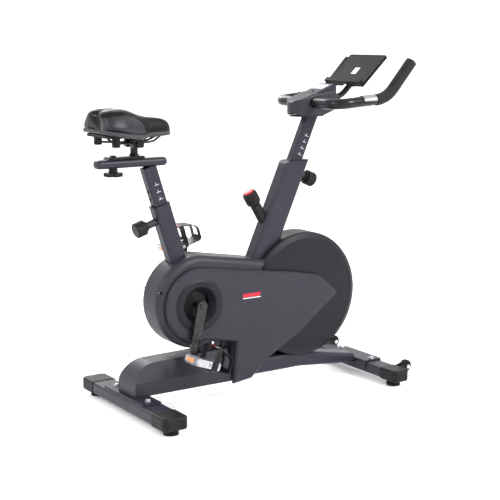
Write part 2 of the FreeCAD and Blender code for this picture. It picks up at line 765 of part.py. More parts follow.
def front_bracket():
    """Saddle plate that wraps the front bar, joins it to the beam and takes its two bolts."""
    half = D["front_bar_deep"] / 2
    profile = [(-half - 4, 30), (-half, 30), (-half, D["bar_top"]), (half, D["bar_top"]), (half, 30),
               (half + 4, 30), (half + 4, BRACKET_TOP), (-half - 4, BRACKET_TOP)]
    bracket = Piece("front_bracket_blank").pad("XZ_Plane", [profile], -100, 100)
    place(bracket.body, D["front_bar_x"], 0, 0)
    holes = [rod(f"bracket_hole_{side}", D["stud_radius"], "z", 50, 30, D["front_bar_x"],
                 side * BOLT_Y["front"])
             for side in SIDES.values()]
    beam_end = box("beam_end_space", (D["beam_bend"], D["beam_front"]), (-D["beam_half"], D["beam_half"]),
                   (0, BRACKET_TOP + 20))
    return cut("front_bracket_cut", bracket.body, beam_end, *holes)


def foot_place(name):
    """Where a levelling foot stands: its bar's X and its own Y."""
    bar, side = name.split("_")
    return D[f"{bar}_bar_x"], SIDES[side] * D[f"{bar}_foot_y"]


def make_levelling_feet():
    """Four screw feet: a rubber-faced pad and a stud that turns up into the floor bar."""
    for name in FOOT_NAMES:
        x, y = foot_place(name)
        foot = Piece(f"{name}_foot_body").pad("XY_Plane", [Circle(0, 0, D["foot_radius"])], 0,
                                              D["foot_height"])
        foot.fillet(3, lies_at("z", D["foot_height"]))
        foot.pad("XY_Plane", [Circle(0, 0, D["stud_radius"])], D["foot_height"], D["bar_top"] - 8)
        node(place(foot.body, x, y, 0), f"{name}_foot")


def end_cap(name, bar, side):
    """A rounded plastic end that wraps the last of a floor bar."""
    low, high = D["bar_bottom"] - 2, D["bar_top"] + 2
    half, deep = D[f"{bar}_bar_half"], D[f"{bar}_bar_deep"] / 2 + 2
    outline = [(-deep, -D["cap_overlap"]), (deep, -D["cap_overlap"]), (deep, D["cap_length"] - 18),
               Arc(deep - 18, D["cap_length"], 18), (18 - deep, D["cap_length"]),
               Arc(-deep, D["cap_length"] - 18, 18)]
    cap = Piece(f"{name}_cap_blank").pad("XY_Plane", [outline], low, high)
    rim = -number(D["cap_overlap"])
    cap.fillet(7, lambda edge: edge.BoundBox.ZLength < 0.01 and edge.CenterOfMass.y > rim + 1)
    turn = 180 if side < 0 else 0
    return place(cap.body, D[f"{bar}_bar_x"], side * half, 0, (0, 0, 1), turn)


def wheel_fork(name, side):
    """The two ears on a front cap that hold a transport wheel between them."""
    reach, rise = D["wheel_x"] - D["front_bar_x"], D["wheel_z"]
    ears = []
    for ear, gap in (("inner", -1), ("outer", 1)):
        middle = side * (D["wheel_y"] + gap * (D["wheel_half"] + 3.5))
        blank = Piece(f"{name}_{ear}_ear")
        outline = [(20, 26), (reach, rise - 12), Arc(reach + 12, rise, 12), Arc(reach, rise + 12, 12),
                   (20, 61)]
        blank.pad("XZ_Plane", [outline], middle - 2.5, middle + 2.5)
        ears.append(place(blank.body, D["front_bar_x"], 0, 0))
    return ears


def make_end_caps():
    """Plastic ends of the floor bars; the front pair carry forks for the transport wheels."""
    caps = []
    for name in FOOT_NAMES:
        bar, side_name = name.split("_")
        side = SIDES[side_name]
        half, deep = D[f"{bar}_bar_half"], D[f"{bar}_bar_deep"] / 2
        x = D[f"{bar}_bar_x"]
        low, high = span(side, 0, half)
        bar_space = box(f"{name}_bar_space", (x - deep, x + deep), (low, high),
                        (D["bar_bottom"], D["bar_top"]))
        stud_hole = rod(f"{name}_cap_stud_hole", D["stud_radius"] + 0.5, "z", 0, 40, x,
                        side * D[f"{bar}_foot_y"])
        cap = end_cap(name, bar, side)
        if bar == "rear":
            caps.append(cut(f"{name}_cap_cut", cap, bar_space, stud_hole))
            continue
        wheel_space = rod(f"{name}_wheel_space", D["wheel_radius"] + 2, "y",
                          side * D["wheel_y"] - D["wheel_half"] - 1, 2 * D["wheel_half"] + 2,
                          D["wheel_x"], z=D["wheel_z"])
        axle_hole = rod(f"{name}_axle_hole", D["wheel_bolt"], "y", side * D["wheel_y"] - 60, 120,
                        D["wheel_x"], z=D["wheel_z"])
        whole = fuse(f"{name}_cap_fuse", cap, *wheel_fork(name, side))
        caps.append(cut(f"{name}_cap_cut", whole, bar_space, stud_hole, wheel_space, axle_hole))
    node(group("end_caps_group", *caps), "end_caps")


def make_transport_wheels():
    """Two small wheels on the front end caps, for tipping the bike forward and rolling it."""
    for name, side in SIDES.items():
        wheel = Piece(f"{name}_wheel_body")
        wheel.pad("XZ_Plane",
                  [Circle(0, 0, D["wheel_radius"]), Circle(0, 0, D["wheel_bolt"] + D["running_gap"])],
                  -D["wheel_half"], D["wheel_half"])
        wheel.fillet(4, lambda edge: edge.BoundBox.XLength > 2 * number(D["wheel_radius"]) - 1)
        node(place(wheel.body, D["wheel_x"], side * D["wheel_y"], D["wheel_z"]), f"{name}_transport_wheel")


def wheel_axles():
    """The bolts that the transport wheels turn on."""
    axles = []
    for name, side in SIDES.items():
        reach = D["wheel_half"] + 6
        axle = Piece(f"{name}_wheel_axle").pad("XZ_Plane", [Circle(0, 0, D["wheel_bolt"])], -reach, reach)
        axle.pad("XZ_Plane", [Circle(0, 0, 7)], reach, reach + 4)
        axle.pad("XZ_Plane", [Circle(0, 0, 7)], -reach - 4, -reach)
        axles.append(place(axle.body, D["wheel_x"], side * D["wheel_y"], D["wheel_z"]))
    return axles


# ---------------------------------------------------------------------------------------------------
# Drive train
# ---------------------------------------------------------------------------------------------------
PEDAL_SHAFT = 6.0
PEDAL_IN = 114.0
PEDAL_OUT = 192.0


def pedal_centre(side):
    """X and Z of a pedal's spindle: the right crank hangs down and leans back, the left points up."""
    lean = D["crank_lean"]
    return (D["crank_x"] + side * D["crank_length"] * function("sin", lean),
            D["crank_z"] + side * D["crank_length"] * function("cos", lean))


def make_crank():
    """Crank axle, drive pulley, the two arms with their end caps, and the pedal spindles."""
    centre = {"x": D["crank_x"], "z": D["crank_z"]}
    axle_parts = [rod("crank_axle_bar", D["axle_radius"], "y", -D["crank_outer_y"] + 3,
                      2 * D["crank_outer_y"] - 6, **centre)]
    spindles = []
    rim = D["pulley_radius"]
    pulley = Piece("drive_pulley_body")
    pulley.pad("XZ_Plane", [Circle(0, 0, rim), Circle(0, 0, D["axle_radius"])], -D["pulley_far_y"],
               -D["pulley_near_y"])
    windows = []
    for turn in range(6):
        angle = math.radians(60 * turn + 15)
        windows.append(Circle(62 * math.cos(angle), 62 * math.sin(angle), 22))
    pulley.pocket("XZ_Plane", windows, -D["pulley_far_y"] - 1, -D["pulley_near_y"] + 1)
    node(place(pulley.body, **centre), "drive_pulley")
    for name, side in SIDES.items():
        low, high = span(side, D["crank_inner_y"], D["crank_outer_y"])
        outline = two_rounds(D["crank_length"], D["crank_head"], D["crank_foot"])
        arm = Piece(f"{name}_arm_body").pad("XZ_Plane", [outline], low, high)
        arm.pocket("XZ_Plane", [Circle(0, 0, D["axle_radius"])], low - 1, high + 1)
        arm.pocket("XZ_Plane", [Circle(D["crank_length"], 0, PEDAL_SHAFT)], low - 1, high + 1)
        outer_face = lies_at("y", side * D["crank_outer_y"])
        arm.fillet(2, lambda edge: outer_face(edge) and edge.BoundBox.XLength > 25, "PartDesign::Chamfer")
        angle = 90 + number(D["crank_lean"]) if side < 0 else -90 + number(D["crank_lean"])
        node(place(arm.body, axis=(0, 1, 0), angle=angle, y=0, **centre), f"{name}_crank_arm")
        cap_low, cap_high = span(side, D["crank_outer_y"] - 3, D["crank_outer_y"] + 3)
        cap = rod(f"{name}_cap", D["axle_radius"] - 1, "y", cap_low, cap_high - cap_low, **centre)
        axle_parts.append(cap)
        x, z = pedal_centre(side)
        low, high = span(side, D["crank_inner_y"], PEDAL_OUT - 4)
        spindles.append(rod(f"{name}_spindle", PEDAL_SHAFT, "y", low, high - low, x, z=z))
    node(group("crank_axle_group", *axle_parts), "crank_axle")
    node(group("spindles_group", *spindles), "pedal_spindles")


PEDAL_PITCH = {"right": 20.0, "left": -16.0}


def make_pedals():
    """Alloy platform pedals with reflectors, toe cages and straps; the heavy toe end hangs lower."""
    for name, side in SIDES.items():
        x, z = pedal_centre(side)
        low, high = span(side, PEDAL_IN, PEDAL_OUT)

        def settle(thing):
            return place(thing, x, 0, z, (0, 1, 0), PEDAL_PITCH[name])

        pedal = Piece(f"{name}_pedal_body").pad("XZ_Plane", [rectangle(-44, -12, 44, 12)], low, high)
        pedal.fillet(5, runs_along((0, 1, 0)))
        for x0, x1 in ((-36, -12), (12, 36)):
            pedal.pocket("XY_Plane", [rectangle(x0, low + 8, x1, high - 8)], -20, 20)
        pedal.pocket("XZ_Plane", [Circle(0, 0, PEDAL_SHAFT + D["running_gap"])], low - 1, high + 1)
        settle(pedal.body)
        middle = (low + high) / 2
        plates = []
        for end in (-1, 1):
            edge = 44.0 * end
            x0, x1 = sorted((edge, edge + 4 * end))
            plate = Piece(f"{name}_reflector_{end}")
            plate.pad("XY_Plane", [rectangle(x0, middle - 22, x1, middle + 22)], -8, 8)
            plates.append(settle(plate.body))
        node(group(f"{name}_pedal_group", pedal.body, *plates), f"{name}_pedal")
        cage = Piece(f"{name}_cage_body")
        outside = [(20, -16), (80, -16), Arc(92, -4, 12), (92, 20), Arc(72, 46, 30), (38, 56)]
        inside = [(37, 53), (71, 43.2), Arc(89, 20, 27, -1), (89, -4), Arc(80, -13, 9, -1), (20, -13)]
        cage.pad("XZ_Plane", [outside + inside], low + 8, high - 8)
        cage.pocket("YZ_Plane", [rectangle(low + 24, 0, high - 24, 40)], 80, 100)
        settle(cage.body)
        strap = Piece(f"{name}_strap_body")
        ring_out = rounded_rectangle((high - low) / 2 + 5, 39, 11, middle, 20.5)
        ring_in = rounded_rectangle((high - low) / 2 + 3, 37, 9, middle, 20.5)
        strap.pad("YZ_Plane", [ring_out, ring_in], 14, 32)
        settle(strap.body)
        node(group(f"{name}_toe_clip_group", cage.body, strap.body), f"{name}_toe_clip")


def make_flywheel():
    """Weighted flywheel on its own axle, with the small belt pulley outside the right dropout."""
    outer, half = D["flywheel_radius"], D["flywheel_half"]
    profile = [(D["flywheel_axle"], -20), (38, -20), (38, -4), (outer - 42, -4), (outer - 38, -half),
               (outer, -half),
               (outer, half), (outer - 38, half), (outer - 42, 4), (38, 4), (38, 20),
               (D["flywheel_axle"], 20)]
    wheel = Piece("flywheel_body").revolve("XY_Plane", [profile])
    node(place(wheel.body, D["flywheel_x"], 0, D["flywheel_z"]), "flywheel")
    shaft = rod("flywheel_shaft", D["flywheel_axle"], "y", -D["pulley_far_y"] - 2, D["pulley_far_y"] + 38,
                D["flywheel_x"], z=D["flywheel_z"])
    pulley = Piece("flywheel_pulley_body")
    pulley.pad("XZ_Plane", [Circle(0, 0, D["flywheel_pulley"]), Circle(0, 0, D["flywheel_axle"])],
               -D["pulley_far_y"], -D["pulley_near_y"])
    place(pulley.body, D["flywheel_x"], 0, D["flywheel_z"])
    node(group("flywheel_axle_group", shaft, pulley.body), "flywheel_axle")


def belt_outline(big, small, y):
    """The line round both pulleys at these radii, as a flat face square to Y."""
    crank = Vector(number(D["crank_x"]), y, number(D["crank_z"]))
    hub = Vector(number(D["flywheel_x"]), y, number(D["flywheel_z"]))
    along = hub - crank
    length = along.Length
    along.normalize()
    up = Vector(-along.z, 0, along.x)
    cosine = (big - small) / length
    sine = math.sqrt(1 - cosine * cosine)
    edges, ends = [], {}
    for turn in (1, -1):
        touch = along * cosine + up * (sine * turn)
        ends[turn] = (crank + touch * big, hub + touch * small)
        edges.append(Part.LineSegment(*ends[turn]).toShape())
    edges.append(Part.Arc(ends[1][0], crank - along * big, ends[-1][0]).toShape())
    edges.append(Part.Arc(ends[1][1], hub + along * small, ends[-1][1]).toShape())
    return Part.Face(Part.Wire(Part.__sortEdges__(edges)))


def make_belt():
    """Flat drive belt round both pulleys, with a running gap so that the pulleys can turn in it."""
    gap, thick = number(D["air_gap"]), number(D["belt_thick"])
    big, small = number(D["pulley_radius"]) + gap, number(D["flywheel_pulley"]) + gap
    near, far = number(D["pulley_near_y"]) + 1, number(D["pulley_far_y"]) - 1
    depth = Vector(0, far - near, 0)
    outer = belt_outline(big + thick, small + thick, -far).extrude(depth)
    inner = belt_outline(big, small, -far).extrude(depth)
    feature("drive_belt", outer.cut(inner))


def idler_centre():
    """Centre of the tension roller, just under the belt's lower run."""
    crank_low = number(D["crank_z"] - D["pulley_radius"])
    hub_low = number(D["flywheel_z"] - D["flywheel_pulley"])
    share = number((D["idler_x"] - D["crank_x"]) / (D["flywheel_x"] - D["crank_x"]))
    slope = math.atan2(hub_low - crank_low, number(D["flywheel_x"] - D["crank_x"]))
    drop = number(D["idler_radius"] + D["belt_thick"] + D["air_gap"] * 4) / math.cos(slope)
    return number(D["idler_x"]), crank_low + (hub_low - crank_low) * share - drop


def make_idler():
    """Belt tension roller on an arm that is bolted to the front post."""
    x, z = idler_centre()
    arm = Piece("idler_arm_body").pad("XZ_Plane", [two_rounds(62, 16, 12)], -33, -28)
    place(arm.body, x - 58, 0, z - 22, (0, 1, 0), -20.8)
    bolt = Piece("idler_bolt_body").pad("XZ_Plane", [Circle(0, 0, 5)], -49, -33)
    bolt.pad("XZ_Plane", [Circle(0, 0, 9)], -52, -49)
    place(bolt.body, x, 0, z)
    node(group("idler_arm_group", arm.body, bolt.body), "idler_arm")
    roller = Piece("idler_roller_body")
    roller.pad("XZ_Plane", [Circle(0, 0, D["idler_radius"]), Circle(0, 0, 5 + D["running_gap"])], -48, -36)
    node(place(roller.body, x, 0, z), "idler_roller")


BRAKE_PIVOT = (116.0, 458.0)
MAGNET_ARC = (172.0, 178.0)


def brake_lug():
    """The lug on the front post and the pin in it that the magnet bracket swings on."""
    px, pz = BRAKE_PIVOT
    lug = Piece("brake_lug_body")
    lug.pad("XZ_Plane", [[(66, 440), (px, pz - 9), Arc(px, pz + 9, 9.01), (78, 467)]], -9, 9)
    lug.pocket("XZ_Plane", [Circle(px, pz, 4)], -12, 12)
    return cut("brake_lug_cut", lug.body, post_way("post_solid", 0)), rod("brake_pin_bar", 4, "y", -16, 32,
                                                                          px, z=pz)


def make_brake():
    """Magnet bracket that arches over the flywheel's rim, hinged on a lug of the front post."""
    px, pz = BRAKE_PIVOT
    fx, fz = number(D["flywheel_x"]), number(D["flywheel_z"])

    def rim_point(radius, degrees):
        angle = math.radians(degrees)
        return (fx + radius * math.cos(angle), fz + radius * math.sin(angle))

    inner, outer = MAGNET_ARC
    start, end = 124.0, 88.0
    sweep_out, sweep_in = Arc(*rim_point(outer, end), outer, -1), Arc(*rim_point(inner, start), inner, 1)
    roof = Piece("magnet_roof")
    roof.pad("XZ_Plane", [[rim_point(outer, start), sweep_out, rim_point(inner, end), sweep_in]], -18, 18)
    cheeks = []
    for name, side in SIDES.items():
        low, high = span(side, 15, 18)
        sweep_deep = Arc(*rim_point(134, start), 134, 1)
        cheek = Piece(f"magnet_cheek_{name}")
        cheek.pad("XZ_Plane", [[rim_point(outer, start), sweep_out, rim_point(134, end), sweep_deep]], low,
                  high)
        ear_low, ear_high = span(side, 10, 15)
        ear = Piece(f"magnet_ear_{name}")
        ear.pad("XZ_Plane",
                [[(px - 9, pz), Arc(px + 9, pz, 9.01), rim_point(165, 119), rim_point(outer, 121)]],
                ear_low, ear_high)
        ear.pocket("XZ_Plane", [Circle(px, pz, 4 + D["running_gap"])], ear_low - 1, ear_high + 1)
        cheeks += [cheek.body, ear.body]
    magnets = []
    for index in range(3):
        for name, side in SIDES.items():
            low, high = span(side, 12.5, 15)
            magnet = Piece(f"magnet_{index}_{name}")
            magnet.pad("XZ_Plane", [Circle(*rim_point(150, 118 - 13 * index), 9)], low, high)
            magnets.append(magnet.body)
    bracket = fuse("magnet_bracket_fuse", roof.body, *cheeks)
    node(group("magnet_bracket_group", bracket, *magnets), "magnet_bracket")


def make_tension_knob():
    """Resistance knob: a guide tube on the front post, a push rod inside it and the knob on top."""
    start, direction = knob_axis()
    lower = start - direction * 40
    guide_out = aimed_rod("guide_out", 18, lower, direction, 40 + KNOB_TUBE_LENGTH)
    guide_in = aimed_rod("guide_in", ROD_RADIUS + 0.05, lower - direction * 5, direction,
                         60 + KNOB_TUBE_LENGTH)
    node(cut("tension_tube_cut", guide_out, post_way("post_body", 0), guide_in), "tension_tube")
    rod_start = start - direction * 118
    node(aimed_rod("push_rod_bar", ROD_RADIUS, rod_start, direction, 118 + KNOB_TUBE_LENGTH + PUSH_GAP + 4),
         "push_rod")
    top = start + direction * (KNOB_TUBE_LENGTH + PUSH_GAP)
    knob = Piece("tension_knob_body").pad("XY_Plane", [Circle(0, 0, 24)], 0, 44)
    knob.fillet(7, lies_at("z", 44))
    knob.fillet(3, lies_at("z", 0))
    knob.pocket("XY_Plane", [Circle(0, 0, ROD_RADIUS + D["running_gap"])], -1, 4.2)
    knob.body.Placement = Placement(top, Rotation(Vector(0, 0, 1), direction))
    cap = Piece("tension_knob_cap_body").pad("XY_Plane", [Circle(0, 0, 15)], 44, 47)
    cap.fillet(2, lies_at("z", 47))
    cap.body.Placement = Placement(top, Rotation(Vector(0, 0, 1), direction))
    node(group("tension_knob_group", knob.body, cap.body), "tension_knob")


# ---------------------------------------------------------------------------------------------------
# Covers
# ---------------------------------------------------------------------------------------------------
TOP_SLOPE = 9.3
LEG = [(54.5, 131), (-17.5, 69), (-89.5, 60), (-79.5, 202)]


def round_point(middle, radius, height, degrees):
    """A point on a circle, at an angle measured up from +X."""
    angle = math.radians(degrees)
    return middle + radius * math.cos(angle), height + radius * math.sin(angle)


def shroud_outline():
    """Side view of the chain cover: a round rear, a top edge falling forwards and a leg to the beam."""
    middle, radius, height = D["rear_round_x"], D["rear_round"], D["rear_round_z"]
    top = round_point(middle, radius, height, 90 - TOP_SLOPE)
    front_top = (53.5, top[1] - (53.5 - top[0]) * math.tan(math.radians(TOP_SLOPE)))
    rear = Arc(middle - radius, height, radius, -1)
    return [Arc(*top, radius, -1), front_top, (112, 300), (112, 160), *LEG,
            round_point(middle, radius, height, -68), rear]


def panel_outline():
    """Side view of the raised side panel, which runs forward over the flywheel's cover."""
    middle, radius, height = D["crank_x"], D["panel_radius"], D["crank_z"]
    rear = Arc(middle - radius, height, radius, -1)
    return [Arc(*round_point(middle, radius, height, 90 - TOP_SLOPE), radius, -1), (136.5, 416), (263.5, 392),
            (342.5, 322), (180.5, 198), *LEG, round_point(middle, radius, height, -75), rear]


def make_chain_covers():
    """Left and right chain covers: thin pans that close on the middle plane of the bike."""
    for name, side in SIDES.items():
        low, high = span(side, D["cover_gap"] / 2, D["cover_face"])
        pan = Piece(f"{name}_cover_pan").pad("XZ_Plane", [shroud_outline()], low, high)
        face = lies_at("y", side * D["cover_face"])
        pan.fillet(D["cover_bevel"], lambda edge: face(edge) and edge.BoundBox.XMax < 53)
        mating = lies_at("y", side * D["cover_gap"] / 2)
        pan.hollow(D["cover_wall"], mating)
        disc_space = rod(f"{name}_disc_space", D["disc_radius"] + D["cover_gap"], "y", -100, 200,
                         D["flywheel_x"], z=D["flywheel_z"])
        crank_space = rod(f"{name}_crank_space", D["crank_hole"], "y", -100, 200, D["crank_x"],
                          z=D["crank_z"])
        groove_low, groove_high = span(side, D["cover_face"] - 1.6, D["cover_face"] + 5)
        groove = Piece(f"{name}_groove")
        groove.pad("XZ_Plane", [Circle(0, 0, D["panel_radius"] + 5), Circle(0, 0, D["panel_radius"] - 2)],
                   groove_low, groove_high)
        place(groove.body, D["crank_x"], 0, D["crank_z"])
        screw_space = rod(f"{name}_screw_space", 5, "y", -100, 200, SCREW_PLACE[0], z=SCREW_PLACE[1])
        node(cut(f"{name}_cover_cut", pan.body, disc_space, crank_space, groove.body, screw_space,
                 seat_way(f"{name}_seat_way", 1), post_way(f"{name}_post_way", 1),
                 beam_way(f"{name}_beam_way", 1)),
             f"{name}_chain_cover")


SCREW_PLACE = (-351.5, 396.0)


def make_side_panels():
    """Raised side panels with the crank opening, and the funnel rings set into those openings."""
    bezels = []
    for name, side in SIDES.items():
        low, high = span(side, D["cover_face"], D["panel_face"])
        panel = Piece(f"{name}_panel_body").pad("XZ_Plane", [panel_outline()], low, high)
        face = lies_at("y", side * D["panel_face"])
        panel.fillet(6, face, "PartDesign::Chamfer")
        back = lies_at("y", side * D["cover_face"])
        panel.hollow(D["cover_wall"], back)
        hole = rod(f"{name}_panel_hole", D["crank_hole"], "y", -100, 200, D["crank_x"], z=D["crank_z"])
        node(cut(f"{name}_panel_cut", panel.body, hole), f"{name}_side_panel")
        mouth, ring = D["crank_hole"], D["bezel_radius"]
        outer, deep = side * (D["panel_face"] + 5), side * (D["cover_face"] - 4)
        flat = side * D["panel_face"]
        profile = [(ring, flat), (ring - 10, outer), (mouth - 4, outer), (mouth - 22, deep),
                   (mouth - 18, deep), (mouth - 0.5, flat)]
        bezel = Piece(f"{name}_bezel_body").revolve("XY_Plane", [profile])
        bezels.append(place(bezel.body, D["crank_x"], 0, D["crank_z"]))
    node(group("bezels_group", *bezels), "crank_bezels")


def make_flywheel_covers():
    """Round covers over the flywheel, open at the rear where the chain covers meet them."""
    for name, side in SIDES.items():
        radius, wall, face = D["disc_radius"], D["cover_wall"], D["disc_face"]
        start = D["cover_gap"] / 2
        profile = [(0, side * face), (radius - 19, side * face), (radius - 3, side * (face - 9)),
                   (radius, side * (face - 16)), (radius, side * start), (radius - wall, side * start),
                   (radius - wall, side * (face - 17)), (radius - 20, side * (face - wall)),
                   (0, side * (face - wall))]
        disc = Piece(f"{name}_disc_body").revolve("XY_Plane", [profile])
        place(disc.body, D["flywheel_x"], 0, D["flywheel_z"])
        low, high = span(side, 0, D["disc_face"] - D["cover_wall"] - 0.5)
        rear_way = box(f"{name}_rear_way", (-20, 112), (low, high), (165, 440))
        node(cut(f"{name}_disc_cut", disc.body, rear_way, post_way(f"{name}_disc_post_way", 1),
                 beam_way(f"{name}_disc_beam_way", 1), push_rod_way(f"{name}_disc_rod_way")),
             f"{name}_flywheel_cover")


def beam_cover_block(label, inset):
    """The beam cover's outer form, or the space inside it when drawn in by its wall."""
    rear, front = D["beam_cover_rear"] + inset, D["beam_cover_front"] + inset * 2
    half, low = D["beam_cover_half"] - inset, 67 - inset * 2
    piece = Piece(label)
    piece.pad("XZ_Plane", [[(rear, low), (front, low), (front, 176 - inset), (rear + 72, 170 - inset),
                            Arc(rear, 100, 84)]], -half, half)
    narrow = D["beam_cover_top_half"] - inset
    for side in SIDES.values():
        slope = [(side * (narrow - 3), 184.5 - inset), (side * (half + 8), 184.5 - inset),
                 (side * (half + 8), 92), (side * half, 112)]
        piece.pocket("YZ_Plane", [slope if side > 0 else slope[::-1]], rear - 20, front + 20)
    return piece


def make_beam_cover():
    """Long plastic cover over the rear of the base beam, with slots for the two leaning tubes."""
    outer = beam_cover_block("beam_cover_outer", 0)
    inner = beam_cover_block("beam_cover_inner", D["cover_wall"])
    leg_space = box("leg_space", (-91, BIG), MIDDLE, (0, 400))
    node(cut("beam_cover_cut", outer.body, inner.body, seat_way("cover_seat_way", 2),
             post_way("cover_post_way", 2), leg_space), "rear_beam_cover")


def cover_screws():
    """Screws that hold the two chain covers together."""
    screws = []
    for name, side in SIDES.items():
        low, high = span(side, D["cover_face"] - 16, D["cover_face"] - 9)
        screws.append(rod(f"{name}_cover_screw", 5, "y", low, high - low, SCREW_PLACE[0], z=SCREW_PLACE[1]))
    return screws


# ---------------------------------------------------------------------------------------------------
# Saddle
# ---------------------------------------------------------------------------------------------------
def make_seat_post():
    """Sliding seat post with its pin holes, and the fore-and-aft rail welded on top."""
    top = D["seat_post_top"]
    length = D["seat_post_length"]
    post = tube("seat_post_blank", D["seat_post_deep"], D["seat_post_wide"], D["post_wall"],
                D["post_corner"], length)
    bottom = top - length * function("cos", D["seat_tilt"])
    leaning(post, seat_x, bottom, SEAT_LEAN)
    above = box("above_seat_post", MIDDLE, MIDDLE, (D["rail_z"] - D["rail_half_height"], D["rail_z"] + 200))
    holes = []
    for step in range(-4, 5):
        height = SEAT_PIN_HEIGHT + step * 25 * math.cos(math.radians(number(D["seat_tilt"])))
        holes.append(aimed_rod(f"seat_hole_{step + 4}", PIN_RADIUS + 0.5, axis_point(seat_x, height),
                               seat_direction(), 60))
    post_cut = cut("seat_post_cut", post, above, *holes)
    half_height, half_width = D["rail_half_height"], D["rail_half_width"]
    profile = rounded_rectangle(half_width, half_height, 12)
    rail = Piece("rail_blank").pad("YZ_Plane", [profile], D["rail_rear"], D["rail_front"])
    ends = [lies_at("x", D["rail_rear"]), lies_at("x", D["rail_front"])]
    rail.fillet(10, lambda edge: any(test(edge) for test in ends))
    rail.pocket("YZ_Plane", [rounded_rectangle(half_width - 3, half_height - 3, 9)], D["rail_rear"] + 14,
                D["rail_front"] - 14)
    place(rail.body, 0, 0, D["rail_z"])
    slot = box("rail_slot", (CLAMP_X - RAIL_TRAVEL - 7, CLAMP_X + RAIL_TRAVEL + 7), (-5.5, 5.5), (700, 900))
    node(group("seat_post_group", post_cut, cut("rail_cut", rail.body, slot)), "seat_post")


CLAMP_X = -485.5
RAIL_TRAVEL = 40.0
CLAMP_BOLT = 5.0


def make_carriage():
    """Sliding carriage on the rail with the saddle stem, its clamp bolt, and the star knob below."""
    top = D["rail_z"] + D["rail_half_height"] + D["air_gap"]
    rear, front = -512.5, -381.0
    plate = Piece("carriage_blank").pad("XZ_Plane",
                                        [[(rear, 0), (front, 0), (front - 4, 8), (rear + 8, 8)]], -18, 18)
    place(plate.body, 0, 0, top)
    stem = rod("stem_blank", D["stem_radius"], "z", top + 4, 36, D["stem_x"])
    collar = doc.addObject("Part::Cone", "stem_collar")
    collar.Radius1, collar.Radius2, collar.Height = 17, number(D["stem_radius"]), 9
    place(collar, D["stem_x"], 0, top + 8)
    bolt_hole = rod("carriage_bolt_hole", CLAMP_BOLT, "z", top - 5, 40, CLAMP_X)
    carriage = cut("carriage_cut", fuse("carriage_fuse", plate.body, stem, collar), bolt_hole)
    under = D["rail_z"] - D["rail_half_height"] - D["air_gap"]
    shank = Piece("clamp_bolt_body").pad("XY_Plane", [Circle(0, 0, CLAMP_BOLT)], under - 20, top + 8)
    shank.pad("XY_Plane", [Circle(0, 0, 10)], top + 8, top + 13)
    shank.fillet(2, lies_at("z", top + 13))
    place(shank.body, CLAMP_X, 0, 0)
    block = Piece("clamp_block_body").pad("XZ_Plane",
                                          [Circle(0, 0, 15), Circle(0, 0, 4 + D["running_gap"])], -13, 13)
    place(block.body, D["stem_x"], 0, D["clamp_z"])
    cross_hole = rod("cross_hole", 4 + D["running_gap"], "y", -40, 80, D["stem_x"], z=D["clamp_z"])
    stem_top = cut("stem_top_cut", fuse("stem_top", carriage, block.body), cross_hole)
    node(group("carriage_group", stem_top, shank.body), "saddle_carriage")
    knob = Piece("fore_aft_knob_body").pad("XY_Plane", [Circle(0, 0, 30)], under - 25, under - 13)
    knob.pad("XY_Plane", [Circle(0, 0, 14)], under - 13, under - 1)
    notches = []
    for turn in range(6):
        angle = math.radians(60 * turn)
        notches.append(Circle(36 * math.cos(angle), 36 * math.sin(angle), 11))
    knob.pocket("XY_Plane", notches, under - 26, under - 12)
    knob.pocket("XY_Plane", [Circle(0, 0, CLAMP_BOLT + D["running_gap"])], under - 20.5, under)
    node(place(knob.body, CLAMP_X, 0, 0), "fore_aft_knob")


def make_saddle_clamp():
    """Saddle clamp: the two cups that hold the saddle's rails, with the cross bolt they tilt on."""
    x, z = D["stem_x"], D["clamp_z"]
    parts = [rod("cross_bolt", 4, "y", -36, 72, x, z=z)]
    for name, side in SIDES.items():
        low, high = span(side, 13.3, 30)
        cup = Piece(f"{name}_cup").pad("XZ_Plane", [rectangle(-20, -12, 20, 14)], low, high)
        cup.fillet(6, runs_along((0, 1, 0)))
        parts.append(place(cup.body, x, 0, z))
        low, high = span(side, 30, 36)
        parts.append(rod(f"{name}_clamp_nut", 8, "y", low, high - low, x, z=z))
    rail_way = fuse("rail_way", *[rod(f"{name}_rail_way", RAIL_WIRE, "x", -700, 500, y=side * 22, z=z + 4)
                                  for name, side in SIDES.items()])
    node(cut("saddle_clamp_cut", fuse("saddle_clamp_fuse", *parts), rail_way), "saddle_clamp")


RAIL_WIRE = 3.5


def make_saddle():
    """Saddle: two steel rails, a moulded base, two rear bumpers and the padded top."""
    z = number(D["clamp_z"]) + 4
    wires = []
    for side in SIDES.values():
        points = [Vector(-525, side * 46, 894), Vector(-500, side * 44, 878), Vector(-455, side * 24, z),
                  Vector(-440, side * 22, z), Vector(-372, side * 22, z), Vector(-352, side * 20, z + 3),
                  Vector(-322, side * 10, 893.8)]
        wires.append(swept(bar_path(points, [8] * 5), RAIL_WIRE))
    feature("saddle_rails", Part.makeCompound(wires))
    base = Piece("saddle_base_body").pad("XY_Plane", [saddle_plan(8)], 897, 905)
    bumpers = []
    for side in SIDES.values():
        bumper = Piece(f"bumper_{side}").pad("XY_Plane", [Circle(-505, side * 62, 13)], 868, 897)
        bumper.fillet(4, lies_at("z", 868))
        bumpers.append(bumper.body)
    node(group("saddle_base_group", base.body, *bumpers), "saddle_base")
    top = D["saddle_top"]
    pad = Piece("saddle_pad_body").pad("XY_Plane", [saddle_plan(0)], 905, top)
    pad.fillet(14, lies_at("z", top))
    fall = [(-470, top + 20), (-462, top + 0.5), (-375, 957), (-312, 947), (-278, 926), (-240, 926),
            (-240, top + 20)]
    pad.pocket("XZ_Plane", [fall], -150, 150)
    node(pad.body, "saddle_pad")


